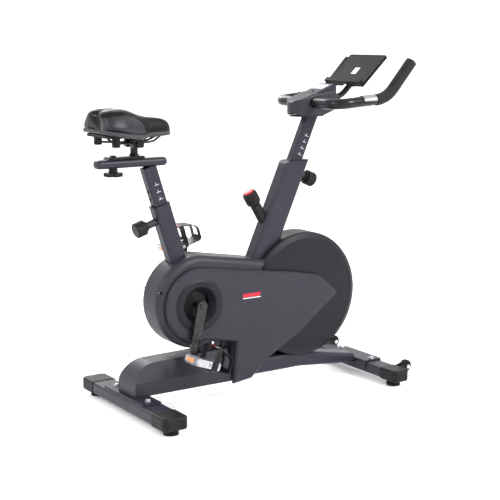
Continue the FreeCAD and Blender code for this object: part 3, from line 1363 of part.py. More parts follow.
def saddle_plan(inset):
    """Plan view of the saddle, drawn in from its edge by an inset."""
    rear, front = D["saddle_rear"] + inset, D["saddle_front"] - inset
    wide, nose, waist = D["saddle_half"] - inset, 28 - inset, 33 - inset
    return [(rear, -wide + 30), Arc(rear + 30, -wide, 30), (rear + 66, -wide), (-378, -waist),
            (front - nose, -nose),
            Arc(front, 0, nose), Arc(front - nose, nose, nose), (-378, waist), (rear + 66, wide),
            (rear + 30, wide), Arc(rear, wide - 30, 30)]


# ---------------------------------------------------------------------------------------------------
# Pins, handlebar and console
# ---------------------------------------------------------------------------------------------------
def make_pin(label, x_at, height, direction, tube_deep, post_deep):
    """Spring pin with its pull knob; its tip stands just off the sliding post."""
    start = axis_point(x_at, height)
    face = number(tube_deep) / 2
    tip = number(post_deep) / 2 + 2 * number(D["air_gap"])
    reach = face + KNOB_STANDS_OFF[label]
    shank = aimed_rod(f"{label}_shank", PIN_RADIUS, start + direction * tip, direction, reach + 18 - tip)
    knob = Piece(f"{label}_knob_body").pad("XY_Plane", [Circle(0, 0, 17)], 0, 8)
    knob.pad("XY_Plane", [Circle(0, 0, 25)], 8, 42)
    knob.fillet(5, lies_at("z", 42))
    grips = []
    for turn in range(12):
        angle = math.radians(30 * turn)
        grips.append(Circle(27 * math.cos(angle), 27 * math.sin(angle), 4))
    knob.pocket("XY_Plane", grips, 7, 32)
    knob.body.Placement = Placement(start + direction * reach, Rotation(Vector(0, 0, 1), direction))
    node(fuse(f"{label}_fuse", shank, knob.body), f"{label}_knob")


def make_pins():
    """The seat post's pin behind the seat tube and the handlebar post's pin in front of the front post."""
    make_pin("seat_pin", seat_x, SEAT_PIN_HEIGHT, seat_direction(), D["seat_tube_deep"], D["seat_post_deep"])
    make_pin("handlebar_pin", post_x, FRONT_PIN_HEIGHT, front_direction(), D["bar_tube_deep"],
             D["bar_post_deep"])


def handlebar_points(side):
    """The corners of one half of the handlebar's centre line: rear corner, front bend and raised tip."""
    half, tip_y = number(D["bar_half"]), number(D["tip_y"])
    return [Vector(number(D["bar_rear_x"]), side * half, number(D["bar_rear_z"])),
            Vector(number(D["bend_x"]), side * (half - 2), number(D["bend_z"])),
            Vector(number(D["tip_x"]), side * tip_y, number(D["tip_z"]))]


def handlebar_wire():
    """The whole centre line of the handlebar, from the right tip to the left tip."""
    rear, horn = number(D["rear_bend"]), number(D["horn_bend"])
    return bar_path(handlebar_points(-1)[::-1] + handlebar_points(1), [horn, rear, rear, horn])


def handlebar_tool(label):
    """The space that the handlebar fills."""
    tool = doc.addObject("Part::Feature", label)
    tool.Shape = swept(handlebar_wire(), number(D["bar_radius"]))
    return tool


def bracket_block(label):
    """The block on the sliding post that the handlebar is welded into."""
    middle, top = post_x(D["bar_post_top"]), D["bar_post_top"]
    return box(label, (middle - 52, middle + 28), (-24, 24), (top, top + 24))


def make_handlebar():
    """Handlebar, foam grips, pulse sensors, and the sliding post with its bracket."""
    top, length = D["bar_post_top"], D["bar_post_length"]
    bottom = top - length * function("cos", D["bar_tilt"])
    post = tube("bar_post_blank", D["bar_post_deep"], D["bar_post_wide"], D["post_wall"], D["post_corner"],
                length + 30)
    leaning(post, post_x, bottom, POST_LEAN)
    above = box("above_bar_post", MIDDLE, MIDDLE, (top, top + 200))
    holes = []
    for step in range(-3, 4):
        height = FRONT_PIN_HEIGHT + step * 25 * math.cos(math.radians(number(D["bar_tilt"])))
        holes.append(aimed_rod(f"bar_hole_{step + 3}", PIN_RADIUS + 0.5, axis_point(post_x, height),
                               front_direction(), 60))
    post_cut = cut("bar_post_cut", post, above, *holes)
    feature("handlebar", swept(handlebar_wire(), number(D["bar_radius"])))
    bracket = cut("bracket_cut", bracket_block("bracket_blank"), handlebar_tool("bracket_bar_space"))
    node(group("handlebar_post_group", post_cut, bracket), "handlebar_post")
    make_grips()


def make_grips():
    """Foam grips over the raised ends, and the pulse sensors on the straight runs behind them."""
    bar, grip = number(D["bar_radius"]), number(D["grip_radius"])
    grips, sensors = [], []
    for side in SIDES.values():
        corner, bend, tip = handlebar_points(side)
        back = (corner - bend).normalize()
        outer = swept(bar_path([bend + back * 50, bend, tip], [number(D["horn_bend"])]), grip)
        closed_end = Part.makeCylinder(grip, 4, tip, (tip - bend).normalize())
        grips.append(outer.cut(NODES["handlebar"].Shape).fuse(closed_end).removeSplitter())
        start = bend + back * 108
        ring = Part.makeCylinder(grip, 54, start, back * -1)
        ring = ring.cut(Part.makeCylinder(bar, 120, start + back * 30, back * -1))
        lower = Part.makeBox(300, 300, 100, Vector(start.x - 150, start.y - 150, start.z - 98))
        sensors.append(ring.cut(lower))
    feature("grips", Part.makeCompound(grips))
    feature("pulse_sensors", Part.makeCompound(sensors))


DISPLAY_FOOT = (266.0, 1011.8)
DISPLAY_HEAD = (340.0, 1041.0)


def console_form(label, inset):
    """The console's outer form, or the space inside it: a side view met by a plan with a round nose."""
    nose, half = 182 + inset, D["console_half"] - inset
    side_view = [(nose, 948 - inset), (nose, 980 - inset / 2), (190 + inset, 988 - inset),
                 (255, 1010 - inset),
                 (335, 1020 - inset), (362 - inset, 1000), (368 - inset, 980), (352 - inset, 956),
                 (300 - inset, 937 - inset), (202, 937 - inset)]
    profile = Piece(f"{label}_side").pad("XZ_Plane", [side_view[::-1]], -half, half)
    sides = [lies_at("y", -half), lies_at("y", half)]
    profile.fillet(8 - inset, lambda edge: any(test(edge) for test in sides) and edge.CenterOfMass.z > 940)
    plan = Piece(f"{label}_plan").pad("XY_Plane", [console_plan(nose, half, 420)], 900, 1100)
    return overlap(f"{label}_form", profile.body, plan.body)


def console_plan(nose, half, front):
    """A plan view with a half-round nose to the rear."""
    return [Arc(nose, 0, half, 1), Arc(nose + half, -half, half, 1), (front, -half), (front, half),
            (nose + half, half)]


def make_console():
    """Console cover over the handlebar's middle, its base plate, display housing, screen and button."""
    neck_space = doc.addObject("Part::Feature", "neck_space")
    neck_space.Shape = neck_shape(NECK_RADIUS)
    opening = box("console_mouth", (190, 297), (-40, 40), (920, 940))
    console = console_form("console_outer", 0)
    for index, tool in enumerate((console_form("console_inner", 3), opening,
                                  handlebar_tool("console_bar_space"),
                                  neck_space, bracket_block("console_bracket_space"))):
        console = cut(f"console_cut_{index}", console, tool)
    plate = Piece("console_plate").pad("XY_Plane", [console_plan(190, 39.5, 296.5)], 933, 936.9)
    post_space = leaning_block("bar_post_space", post_x, POST_LEAN, D["bar_tube_top"], D["bar_post_top"] + 60,
                               D["bar_post_deep"], D["bar_post_wide"])
    base = cut("console_plate_cut", plate.body, post_space)
    (x0, z0), (x1, z1) = DISPLAY_FOOT, DISPLAY_HEAD
    wedge_side = [(x0, z0 - 1.8), (335, 1018), (350, 1007.5), (350, z1 - 6), (x1, z1), (x0, z0)]
    wedge = Piece("display_wedge").pad("XZ_Plane", [wedge_side], -38, 38)
    across = runs_along((0, 1, 0))
    wedge.fillet(4, lambda edge: across(edge) and edge.CenterOfMass.z > 1034)
    slope = (z1 - z0) / (x1 - x0)
    lean = Rotation(Vector(0, 1, 0), -math.degrees(math.atan(slope)))
    button_place = Vector(280, 0, z0 + (280 - x0) * slope)
    well = rod("button_well", 5.4, "z", -3, 20)
    well.Placement = Placement(button_place + lean.multVec(Vector(0, 0, -3)), lean)
    housing = cut("display_cut", wedge.body, console, well)
    node(group("console_group", console, base, housing), "console_cover")
    screen = Piece("screen_body").pad("XY_Plane", [rectangle(-17, -27, 17, 27)], 0, 1.5)
    screen.fillet(3, runs_along((0, 0, 1)))
    screen.body.Placement = Placement(Vector(312, 0, z0 + (312 - x0) * slope), lean)
    node(screen.body, "display_screen")
    button = Piece("button_body").pad("XY_Plane", [Circle(0, 0, 5)], -1.0, 1.6)
    button.fillet(0.8, lies_at("z", 1.6))
    button.body.Placement = Placement(button_place, lean)
    node(button.body, "display_button")


NECK_RADIUS = 10.0
HINGE = (444.8, 1039.1)


def neck_shape(radius):
    """The curved neck from inside the console's front to the tablet holder's hinge."""
    points = [Vector(342, 0, 985), Vector(402, 0, 999), Vector(HINGE[0], 0, HINGE[1])]
    return swept(bar_path(points, [70]), radius)


def make_tablet_holder():
    """Tablet holder: curved neck, hinge pin, and the tilting plate with its ledge."""
    x, z = HINGE
    neck = doc.addObject("Part::Feature", "neck_blank")
    neck.Shape = neck_shape(NECK_RADIUS)
    barrel = rod("neck_barrel", 12, "y", -11.7, 23.4, x, z=z)
    pin_hole = rod("neck_pin_hole", 3.5 + D["running_gap"], "y", -40, 80, x, z=z)
    node(cut("neck_cut", fuse("neck_fuse", neck, barrel), pin_hole), "holder_neck")
    recline = 90 - number(D["holder_recline"])
    lean = Rotation(Vector(0, 1, 0), -recline)
    half, tall, thick = D["holder_half"], D["holder_height"], D["holder_thick"]
    profile = [(-10, -thick), (tall, -thick), (tall, 0), (0, 0), (0, 12), (6, 12), (6, 15), (-10, 15)]
    plate = Piece("holder_body").pad("XZ_Plane", [profile], -half, half)
    across = runs_along((0, 0, 1))
    plate.fillet(8, lambda edge: across(edge) and edge.CenterOfMass.x > number(tall) - 1)
    neck_way = box("neck_way", (-11, 12), (-12.6, 12.6), (-20, 0))
    lugs = []
    for name, side in SIDES.items():
        low, high = span(side, 12, 18)
        lug = Piece(f"{name}_holder_lug")
        lug.pad("XZ_Plane", [[(2, -9), (8, -25.5), Arc(24, -25.5, 9.5, 1), (34, -9)]], low, high)
        lug.pocket("XZ_Plane", [Circle(16, -21.5, 3.5)], low - 1, high + 1)
        lugs.append(lug.body)
    whole = cut("holder_cut", fuse("holder_fuse", plate.body, *lugs), neck_way)
    hinge_from_edge = lean.multVec(Vector(16, 0, -21.5))
    whole.Placement = Placement(Vector(x, 0, z) - hinge_from_edge, lean)
    node(group("tablet_holder_group", whole, rod("hinge_pin_bar", 3.5, "y", -21, 42, x, z=z)),
         "tablet_holder")


# ---------------------------------------------------------------------------------------------------
# Build and write
# ---------------------------------------------------------------------------------------------------
def move_to_middle():
    """Moves every sub-part so that the origin lies under the middle of the bike."""
    for item in NODES.values():
        ties = [rule for name, rule in item.ExpressionEngine if name.lstrip(".") == "Placement.Base.x"]
        start = ties[0] if ties else str(item.Placement.Base.x)
        item.setExpression("Placement.Base.x", f"({start}) + sizes.middle_x")
    doc.recompute()


def check_document():
    """Stops if any feature failed or any sub-part is missing a sound solid."""
    faults = []
    for item in doc.Objects:
        if {"Invalid", "Error"} & set(item.State):
            owners = [parent.Label for parent in item.InList]
            faults.append(f"{item.Label} of {owners} failed: {item.State}")
    for label, item in NODES.items():
        if item.Shape.isNull() or not item.Shape.isValid() or not item.Shape.Solids:
            faults.append(f"{label} has no sound solid")
    if faults:
        raise ValueError("\n".join(faults))


def write_parts():
    """Writes each sub-part to its own STEP file."""
    os.makedirs("parts", exist_ok=True)
    for label, item in NODES.items():
        item.Shape.exportStep(os.path.join("parts", label + ".step"))


for make in (make_beam, make_tubes, make_bearings, make_sleeves, make_feet, make_levelling_feet,
             make_end_caps,
             make_transport_wheels, make_crank, make_pedals, make_flywheel, make_belt, make_idler, make_brake,
             make_tension_knob, make_chain_covers, make_side_panels, make_flywheel_covers, make_beam_cover,
             make_seat_post, make_carriage, make_saddle_clamp, make_saddle, make_pins,
             make_handlebar, make_console, make_tablet_holder):
    make()
doc.recompute()
move_to_middle()
check_document()
write_parts()
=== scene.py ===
"""Looks of the indoor exercise bike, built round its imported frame.

Meshes are in metres. Places given to at(), and the tables that feed it, are in the design's millimetres.
"""
import json
import math

import bmesh
import bpy
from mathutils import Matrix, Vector
from mathutils.bvhtree import BVHTree


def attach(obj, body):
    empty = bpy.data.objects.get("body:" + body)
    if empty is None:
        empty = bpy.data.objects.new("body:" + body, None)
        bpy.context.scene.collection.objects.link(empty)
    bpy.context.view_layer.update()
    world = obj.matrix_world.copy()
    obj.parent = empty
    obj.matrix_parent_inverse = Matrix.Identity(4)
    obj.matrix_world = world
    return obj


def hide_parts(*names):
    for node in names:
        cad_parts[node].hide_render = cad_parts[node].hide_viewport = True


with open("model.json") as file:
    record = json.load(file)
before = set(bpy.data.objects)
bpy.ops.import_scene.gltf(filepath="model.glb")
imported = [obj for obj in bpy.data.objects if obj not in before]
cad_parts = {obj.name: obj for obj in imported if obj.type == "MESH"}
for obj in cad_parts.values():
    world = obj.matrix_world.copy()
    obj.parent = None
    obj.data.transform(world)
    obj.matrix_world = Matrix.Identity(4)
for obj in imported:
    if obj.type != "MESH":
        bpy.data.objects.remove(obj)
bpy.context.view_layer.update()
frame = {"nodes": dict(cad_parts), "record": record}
NODES = frame["nodes"]
MM = 0.001
MIDDLE_X = -17.2
FORWARD, LEFT, UP = Vector((1, 0, 0)), Vector((0, 1, 0)), Vector((0, 0, 1))
SIDE_NAMES = ((-1, "right"), (1, "left"))


def at(x, y, z):
    """A place given in the design's own millimetres."""
    return Vector(((x + MIDDLE_X) * MM, y * MM, z * MM))


# ---------------------------------------------------------------------------------------------------
# Materials
# ---------------------------------------------------------------------------------------------------
MATERIALS = {}
RAMP_LOW, RAMP_HIGH = 0.3, 0.7
COAT_ROUGHNESS, GRAIN_HEIGHT = 0.12, 0.0006


def link_noise(tree, coords, scale, detail=3.0, kind="ShaderNodeTexNoise", stretch=(1, 1, 1)):
    """A procedural texture on object coordinates."""
    mapping = tree.nodes.new("ShaderNodeMapping")
    mapping.inputs["Scale"].default_value = stretch
    tree.links.new(coords.outputs["Object"], mapping.inputs["Vector"])
    texture = tree.nodes.new(kind)
    texture.inputs["Scale"].default_value = scale
    if "Detail" in texture.inputs:
        texture.inputs["Detail"].default_value = detail
    tree.links.new(mapping.outputs["Vector"], texture.inputs["Vector"])
    return texture


def mix_colours(tree, factor, first, second):
    """A colour between two, driven by a texture."""
    ramp = tree.nodes.new("ShaderNodeValToRGB")
    low, high = ramp.color_ramp.elements
    low.position, high.position = RAMP_LOW, RAMP_HIGH
    low.color = (*first, 1)
    high.color = (*second, 1)
    tree.links.new(factor, ramp.inputs["Fac"])
    return ramp.outputs["Color"]


def material(name, colour, rough, metal=0.0, coat=0.0, sheen=0.0, mottle=(9, 0.12),
             grain=(900, 0.1, "noise"), rough_range=0.08, stretch=(1, 1, 1), specular=0.5, emission=0.0):
    """A finish with colour variation, uneven gloss and a fine surface grain."""
    made = bpy.data.materials.new(name)
    made.use_nodes = True
    tree = made.node_tree
    shader = tree.nodes["Principled BSDF"]
    shader.inputs["Metallic"].default_value = metal
    shader.inputs["Specular IOR Level"].default_value = specular
    shader.inputs["Coat Weight"].default_value = coat
    shader.inputs["Coat Roughness"].default_value = COAT_ROUGHNESS
    shader.inputs["Sheen Weight"].default_value = sheen
    coords = tree.nodes.new("ShaderNodeTexCoord")
    cloud = link_noise(tree, coords, mottle[0], 4.0)
    low = tuple(c * (1 - mottle[1]) for c in colour)
    high = tuple(min(1.0, c * (1 + mottle[1])) for c in colour)
    tree.links.new(mix_colours(tree, cloud.outputs["Fac"], low, high), shader.inputs["Base Color"])
    patch = link_noise(tree, coords, mottle[0] * 7, 5.0, stretch=stretch)
    spread = tree.nodes.new("ShaderNodeMapRange")
    spread.inputs["To Min"].default_value = rough - rough_range
    spread.inputs["To Max"].default_value = rough + rough_range
    tree.links.new(patch.outputs["Fac"], spread.inputs["Value"])
    tree.links.new(spread.outputs["Result"], shader.inputs["Roughness"])
    scale, depth, kind = grain
    if kind == "cells":
        texture = link_noise(tree, coords, scale, kind="ShaderNodeTexVoronoi", stretch=stretch)
        height = texture.outputs["Distance"]
    else:
        texture = link_noise(tree, coords, scale, 2.0, stretch=stretch)
        height = texture.outputs["Fac"]
    bump = tree.nodes.new("ShaderNodeBump")
    bump.inputs["Strength"].default_value = depth
    bump.inputs["Distance"].default_value = GRAIN_HEIGHT
    tree.links.new(height, bump.inputs["Height"])
    tree.links.new(bump.outputs["Normal"], shader.inputs["Normal"])
    if emission:
        shader.inputs["Emission Color"].default_value = (*colour, 1)
        shader.inputs["Emission Strength"].default_value = emission
    made.diffuse_color = (*colour, 1)
    MATERIALS[name] = made
    return made


FINISHES = {
    "frame_paint": dict(colour=(0.0155, 0.0152, 0.0235), rough=0.40, specular=0.2,
                        grain=(1100, 0.12, "noise")),
    "gloss_paint": dict(colour=(0.005, 0.005, 0.0062), rough=0.27, specular=0.2, rough_range=0.05,
                        grain=(500, 0.03, "noise")),
    "cover_plastic": dict(colour=(0.0165, 0.0158, 0.0222), rough=0.42, specular=0.21, mottle=(6, 0.10),
                          grain=(2200, 0.16, "cells")),
    "disc_plastic": dict(colour=(0.0062, 0.006, 0.0085), rough=0.46, specular=0.17,
                         grain=(2000, 0.14, "cells")),
    "black_plastic": dict(colour=(0.0065, 0.0064, 0.0074), rough=0.44, specular=0.14,
                          grain=(1500, 0.18, "cells")),
    "holder_plastic": dict(colour=(0.0062, 0.0060, 0.0068), rough=0.52, specular=0.06,
                           grain=(1500, 0.15, "cells")),
    "rubber": dict(colour=(0.005, 0.005, 0.005), rough=0.68, specular=0.14, mottle=(20, 0.2),
                   grain=(700, 0.3, "noise")),
    "foam": dict(colour=(0.0065, 0.0063, 0.007), rough=0.62, specular=0.15, sheen=0.04, mottle=(30, 0.2),
                 grain=(950, 0.55, "cells")),
    "saddle_leather": dict(colour=(0.003, 0.003, 0.0034), rough=0.36, specular=0.10, sheen=0.02,
                           mottle=(14, 0.15), grain=(650, 0.45, "cells")),
    "saddle_panel": dict(colour=(0.011, 0.0105, 0.0142), rough=0.33, specular=0.23, sheen=0.02,
                         mottle=(12, 0.15), grain=(520, 0.35, "cells")),
    "steel": dict(colour=(0.45, 0.45, 0.47), rough=0.32, metal=1.0, mottle=(25, 0.08), stretch=(1, 1, 14)),
    "crank_paint": dict(colour=(0.005, 0.005, 0.0058), rough=0.28, coat=0.1, specular=0.3,
                        grain=(700, 0.05, "noise")),
    "alloy": dict(colour=(0.34, 0.34, 0.36), rough=0.30, metal=0.9, mottle=(40, 0.2),
                  grain=(600, 0.3, "noise")),
    "sensor_chrome": dict(colour=(0.34, 0.34, 0.355), rough=0.24, metal=1.0, grain=(300, 0.03, "noise")),
    "iron": dict(colour=(0.18, 0.18, 0.19), rough=0.45, metal=0.9, stretch=(1, 12, 1)),
    "screen": dict(colour=(0.42, 0.42, 0.55), rough=0.16, coat=0.6, mottle=(30, 0.06),
                   grain=(200, 0.01, "noise")),
    "display_face": dict(colour=(0.10, 0.10, 0.115), rough=0.34, specular=0.3, mottle=(30, 0.1),
                         grain=(1600, 0.12, "cells")),
    "red_accent": dict(colour=(0.42, 0.010, 0.022), rough=0.36, specular=0.25, mottle=(30, 0.12),
                       grain=(1200, 0.15, "noise")),
    "white_print": dict(colour=(0.62, 0.62, 0.64), rough=0.5, mottle=(60, 0.08), grain=(900, 0.1, "noise")),
    "amber_lens": dict(colour=(0.62, 0.20, 0.018), rough=0.22, coat=0.35, specular=0.3, mottle=(60, 0.2),
                       grain=(420, 0.5, "cells")),
    "grey_trim": dict(colour=(0.030, 0.030, 0.034), rough=0.52, specular=0.22, mottle=(25, 0.15),
                      grain=(1300, 0.5, "cells")),
    # Dark piping on the saddle seams; the same colour is painted shade in the bolt sockets and over the
    # cover screw holes.
    "dark_piping_and_painted_hole_shade": dict(colour=(0.004, 0.004, 0.004), rough=0.7, specular=0.12, mottle=(25, 0.2),
                        grain=(900, 0.2, "noise")),
    "thread": dict(colour=(0.05, 0.05, 0.055), rough=0.6, mottle=(80, 0.2), grain=(2500, 0.4, "noise")),
}
for finish_name, finish in FINISHES.items():
    material(finish_name, **finish)

SLOT_OF = {row["node"]: row["material_slot"] for row in frame["record"]["subparts"]}
FINISH_OF = {"crank_axle": "crank_paint", "tablet_holder": "holder_plastic"}
for node_name, node_object in NODES.items():
    chosen = MATERIALS[FINISH_OF.get(node_name, SLOT_OF[node_name])]
    if not node_object.material_slots:
        node_object.data.materials.append(chosen)
    for slot in node_object.material_slots:
        slot.material = chosen


# ---------------------------------------------------------------------------------------------------
# Mesh helpers
# ---------------------------------------------------------------------------------------------------
SLAB_SINK, SLAB_BEVEL = 0.0006, 0.15
SMALLEST_RADIUS = 1e-5


def piece(name, verts, faces, finish, body, smooth=True):
    """A new mesh that rides on a body."""
    mesh = bpy.data.meshes.new(name)
    mesh.from_pydata([tuple(v) for v in verts], [], faces)
    mesh.validate()
    work = bmesh.new()
    work.from_mesh(mesh)
    bmesh.ops.recalc_face_normals(work, faces=work.faces)
    work.to_mesh(mesh)
    work.free()
    made = bpy.data.objects.new(name, mesh)
    bpy.context.collection.objects.link(made)
    mesh.materials.append(MATERIALS[finish])
    for polygon in mesh.polygons:
        polygon.use_smooth = smooth
    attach(made, body)
    return made


def merged(name, parts, finish, body, smooth=True):
    """One piece from several closed forms."""
    verts, faces = [], []
    for part_verts, part_faces in parts:
        offset = len(verts)
        verts += part_verts
        faces += [tuple(i + offset for i in face) for face in part_faces]
    return piece(name, verts, faces, finish, body, smooth)


def frame_of(direction, hint=UP):
    """Two unit vectors square to a direction."""
    direction = direction.normalized()
    if abs(direction.dot(hint)) > 0.95:
        hint = FORWARD
    side = direction.cross(hint).normalized()
    return side, side.cross(direction).normalized()


def row_faces(rings, sides):
    """Faces between rings that follow one another, with a cap at each end."""
    faces = []
    for i in range(rings - 1):
        for k in range(sides):
            a, b = i * sides + k, i * sides + (k + 1) % sides
            faces.append((a, b, b + sides, a + sides))
    faces.append(tuple(range(sides))[::-1])
    faces.append(tuple(range((rings - 1) * sides, rings * sides)))
    return faces


def loop_faces(rings, sides):
    """Faces between rings that follow one another round a closed loop."""
    faces = []
    for i in range(rings):
        ahead = (i + 1) % rings
        for k in range(sides):
            beside = (k + 1) % sides
            faces.append((i * sides + k, i * sides + beside, ahead * sides + beside, ahead * sides + k))
    return faces


def circle(centre, side, up, radius, sides):
    """Points of a circle in the plane of two directions."""
    points = []
    for k in range(sides):
        angle = 2 * math.pi * k / sides
        points.append(centre + (side * math.cos(angle) + up * math.sin(angle)) * radius)
    return points


def tube_mesh(points, radii, sides=20):
    """Vertices and faces of a closed round tube along points, with its own radius at each."""
    verts = []
    side, _ = frame_of(points[1] - points[0])
    last = len(points) - 1
    for i, point in enumerate(points):
        ahead = (points[min(i + 1, last)] - points[max(i - 1, 0)]).normalized()
        side = (side - ahead * side.dot(ahead)).normalized()
        verts += circle(point, side, side.cross(ahead), radii[i], sides)
    return verts, row_faces(len(points), sides)


def wire(outline_points, radius):
    """A thin round wire along points, back to the first of them."""
    closed = outline_points + outline_points[:1]
    return tube_mesh(closed, [radius] * len(closed), 8)


def lathe_mesh(centre, axis, profile, sides=48):
    """Vertices and faces of a profile (distance along, radius) turned about an axis."""
    axis = axis.normalized()
    side, up = frame_of(axis)
    verts = []
    for along, radius in profile:
        verts += circle(centre + axis * along, side, up, max(radius, SMALLEST_RADIUS), sides)
    return verts, row_faces(len(profile), sides)


def slab(outline, across, up, out, centre, thick):
    """A thin plate with a bevelled edge: an outline in its own plane, set out from a surface."""
    middle = Vector((sum(p[0] for p in outline), sum(p[1] for p in outline))) / len(outline)
    levels = ((-SLAB_SINK, 1.0), (thick * (1 - SLAB_BEVEL), 1.0), (thick, 1 - SLAB_BEVEL * 0.25))
    verts = []
    for lift, shrink in levels:
        for x, y in outline:
            flat = middle + (Vector((x, y)) - middle) * shrink
            verts.append(centre + across * flat.x + up * flat.y + out * lift)
    return verts, row_faces(len(levels), len(outline))


def rounded_outline(half_x, half_y, corner, steps=5):
    """A rectangle's outline with round corners."""
    points = []
    for sx, sy, turn in ((1, 1, 0), (-1, 1, 90), (-1, -1, 180), (1, -1, 270)):
        for i in range(steps + 1):
            angle = math.radians(turn + 90 * i / steps)
            points.append((sx * (half_x - corner) + corner * math.cos(angle),
                           sy * (half_y - corner) + corner * math.sin(angle)))
    return points


def between(stations, x):
    """The value at x on straight lines between stations (x, value)."""
    if x <= stations[0][0]:
        return stations[0][1]
    for (x0, v0), (x1, v1) in zip(stations, stations[1:]):
        if x <= x1:
            t = (x - x0) / (x1 - x0)
            return v0 + (v1 - v0) * t
    return stations[-1][1]


def clamped(value):
    """A share kept between 0 and 1."""
    return max(0.0, min(1.0, value))


# ---------------------------------------------------------------------------------------------------
# Saddle. Its tables hold (x, value) in the design's millimetres, and the trim's (outwards, height).
# ---------------------------------------------------------------------------------------------------
SADDLE_HALF = [(-549, 72), (-545, 82), (-536, 90), (-520, 94.5), (-495, 95), (-475, 91), (-452, 80),
               (-430, 66), (-405, 52), (-380, 42), (-350, 36), (-325, 33), (-308, 29), (-296, 22),
               (-288, 14), (-284, 5)]
SADDLE_TOP = [(-549, 960), (-545, 970), (-537, 978), (-520, 983), (-480, 984), (-458, 981), (-435, 973),
              (-408, 962), (-380, 955), (-345, 951), (-320, 948), (-304, 943), (-293, 935), (-287, 925),
              (-284, 914)]
SADDLE_EDGE = [(-549, 12), (-520, 7), (-470, -2), (-420, -9), (-395, -10), (-380, -5), (-340, -4),
               (-284, -3)]
SADDLE_REAR, SADDLE_NOSE, SADDLE_BASE = -549.0, -284.0, 905.5
SADDLE_STEPS, SADDLE_ACROSS, SADDLE_SPREAD = 54, 30, 0.97
EDGE_STILL, EDGE_FADE = 950, 45
CROWN_EDGE, CROWN_FALL = 917, 4.6
GROOVE_DEPTH, GROOVE_WIDTH, GROOVE_FRONT, GROOVE_FADE = 7.0, 0.16, -440, 60
NOTCH_DEPTH, NOTCH_WIDTH, NOTCH_REACH = 15.0, 0.2, 50
FLOOR_SHARE = 0.9
SADDLE_VOXEL = 0.0045
FOAM_PRESSURE, FOAM_CAP, FOAM_FRAMES, PINNED_HEIGHT = 4.0, 0.005, 20, 7
PANEL_TOP = [(-549, 957), (-520, 964), (-475, 963), (-440, 957), (-412, 945), (-396, 928), (-388, 906)]
PANEL_FRONT, PANEL_FOOT, PANEL_INSIDE = -388, 912, 0.55
SEAM_START, SEAM_END, STITCH_GAP = -545, -386, 4.5
SEAM_RADIUS, LOOK_FROM, LOOK_DEPTH = 0.0009, 0.08, 0.2
TRIM_PROFILE = ((-2.5, 897.5), (-0.5, 898.5), (0.6, 903), (0.2, 909), (-1.5, 911.5), (-6, 911.5), (-7, 898))
TRIM_STEPS = 60


def follow_edge(x, z):
    """Lifts or drops the lower part of the saddle, so that its edge dips at the wings."""
    return z + between(SADDLE_EDGE, x) * clamped((EDGE_STILL - z) / EDGE_FADE)


def saddle_point(x, v):
    """A point of the saddle's upper surface: x along, v from -1 at the right edge to 1 at the left."""
    half = between(SADDLE_HALF, x)
    crown = between(SADDLE_TOP, x)
    rear_share = clamped((GROOVE_FRONT - x) / GROOVE_FADE)
    groove = GROOVE_DEPTH * rear_share * math.exp(-(v / GROOVE_WIDTH) ** 2)
    near_rear = max(0.0, 1 - (x - SADDLE_REAR) / NOTCH_REACH)
    notch = NOTCH_DEPTH * near_rear * math.exp(-(v / NOTCH_WIDTH) ** 2)
    z = crown - groove - (crown - CROWN_EDGE) * abs(v) ** CROWN_FALL
    return at(x + notch, v * half, follow_edge(x, z))


def saddle_form():
    """The closed form of the padded top before it is inflated."""
    verts = []
    shares = [-SADDLE_SPREAD + 2 * SADDLE_SPREAD * k / (SADDLE_ACROSS - 1) for k in range(SADDLE_ACROSS)]
    for i in range(SADDLE_STEPS + 1):
        x = SADDLE_REAR + 2 + (SADDLE_NOSE - SADDLE_REAR - 4) * i / SADDLE_STEPS
        top = [saddle_point(x, share) for share in shares]
        floor = follow_edge(x, SADDLE_BASE) * MM
        verts += top
        verts += [Vector((p.x, p.y * FLOOR_SHARE, floor)) for p in reversed(top)]
    return verts, row_faces(SADDLE_STEPS + 1, 2 * SADDLE_ACROSS)


def remesh(target, voxel):
    """Rebuilds a mesh in even quads."""
    modifier = target.modifiers.new("Remesh", "REMESH")
    modifier.mode = "VOXEL"
    modifier.voxel_size = voxel
    modifier.use_smooth_shade = True
    bake_modifiers(target)


def bake_modifiers(target):
    """Applies every modifier of a mesh."""
    graph = bpy.context.evaluated_depsgraph_get()
    done = bpy.data.meshes.new_from_object(target.evaluated_get(graph))
    old = target.data
    target.modifiers.clear()
    target.data = done
    bpy.data.meshes.remove(old)
    for polygon in target.data.polygons:
        polygon.use_smooth = True


def inflate(target, pressure, cap, pinned):
    """Swells a closed mesh like foam under a cover, keeping pinned points and capping the rest."""
    start = [v.co.copy() for v in target.data.vertices]
    group = target.vertex_groups.new(name="held")
    group.add([i for i, p in enumerate(start) if pinned(p)], 1.0, "REPLACE")
    cloth = target.modifiers.new("Cloth", "CLOTH")
    settings = cloth.settings
    settings.quality = 6
    settings.mass = 0.3
    settings.tension_stiffness = settings.compression_stiffness = 18
    settings.bending_stiffness = 2
    settings.use_pressure = True
    settings.uniform_pressure_force = pressure
    settings.effector_weights.gravity = 0
    settings.vertex_group_mass = "held"
    scene = bpy.context.scene
    cloth.point_cache.frame_start, cloth.point_cache.frame_end = 1, FOAM_FRAMES
    for step in range(1, FOAM_FRAMES + 1):
        scene.frame_set(step)
    graph = bpy.context.evaluated_depsgraph_get()
    swollen = target.evaluated_get(graph).to_mesh()
    ends = [v.co.copy() for v in swollen.vertices]
    target.modifiers.clear()
    target.vertex_groups.clear()
    for vertex, rest, end in zip(target.data.vertices, start, ends):
        move = end - rest
        if move.length > cap:
            move = move.normalized() * cap
        vertex.co = rest + move
    scene.frame_set(1)


def at_saddle_foot(point):
    """Whether a point of the cushion sits in the hard base, and is held there."""
    return point.z / MM < follow_edge(point.x / MM - MIDDLE_X, SADDLE_BASE) + PINNED_HEIGHT


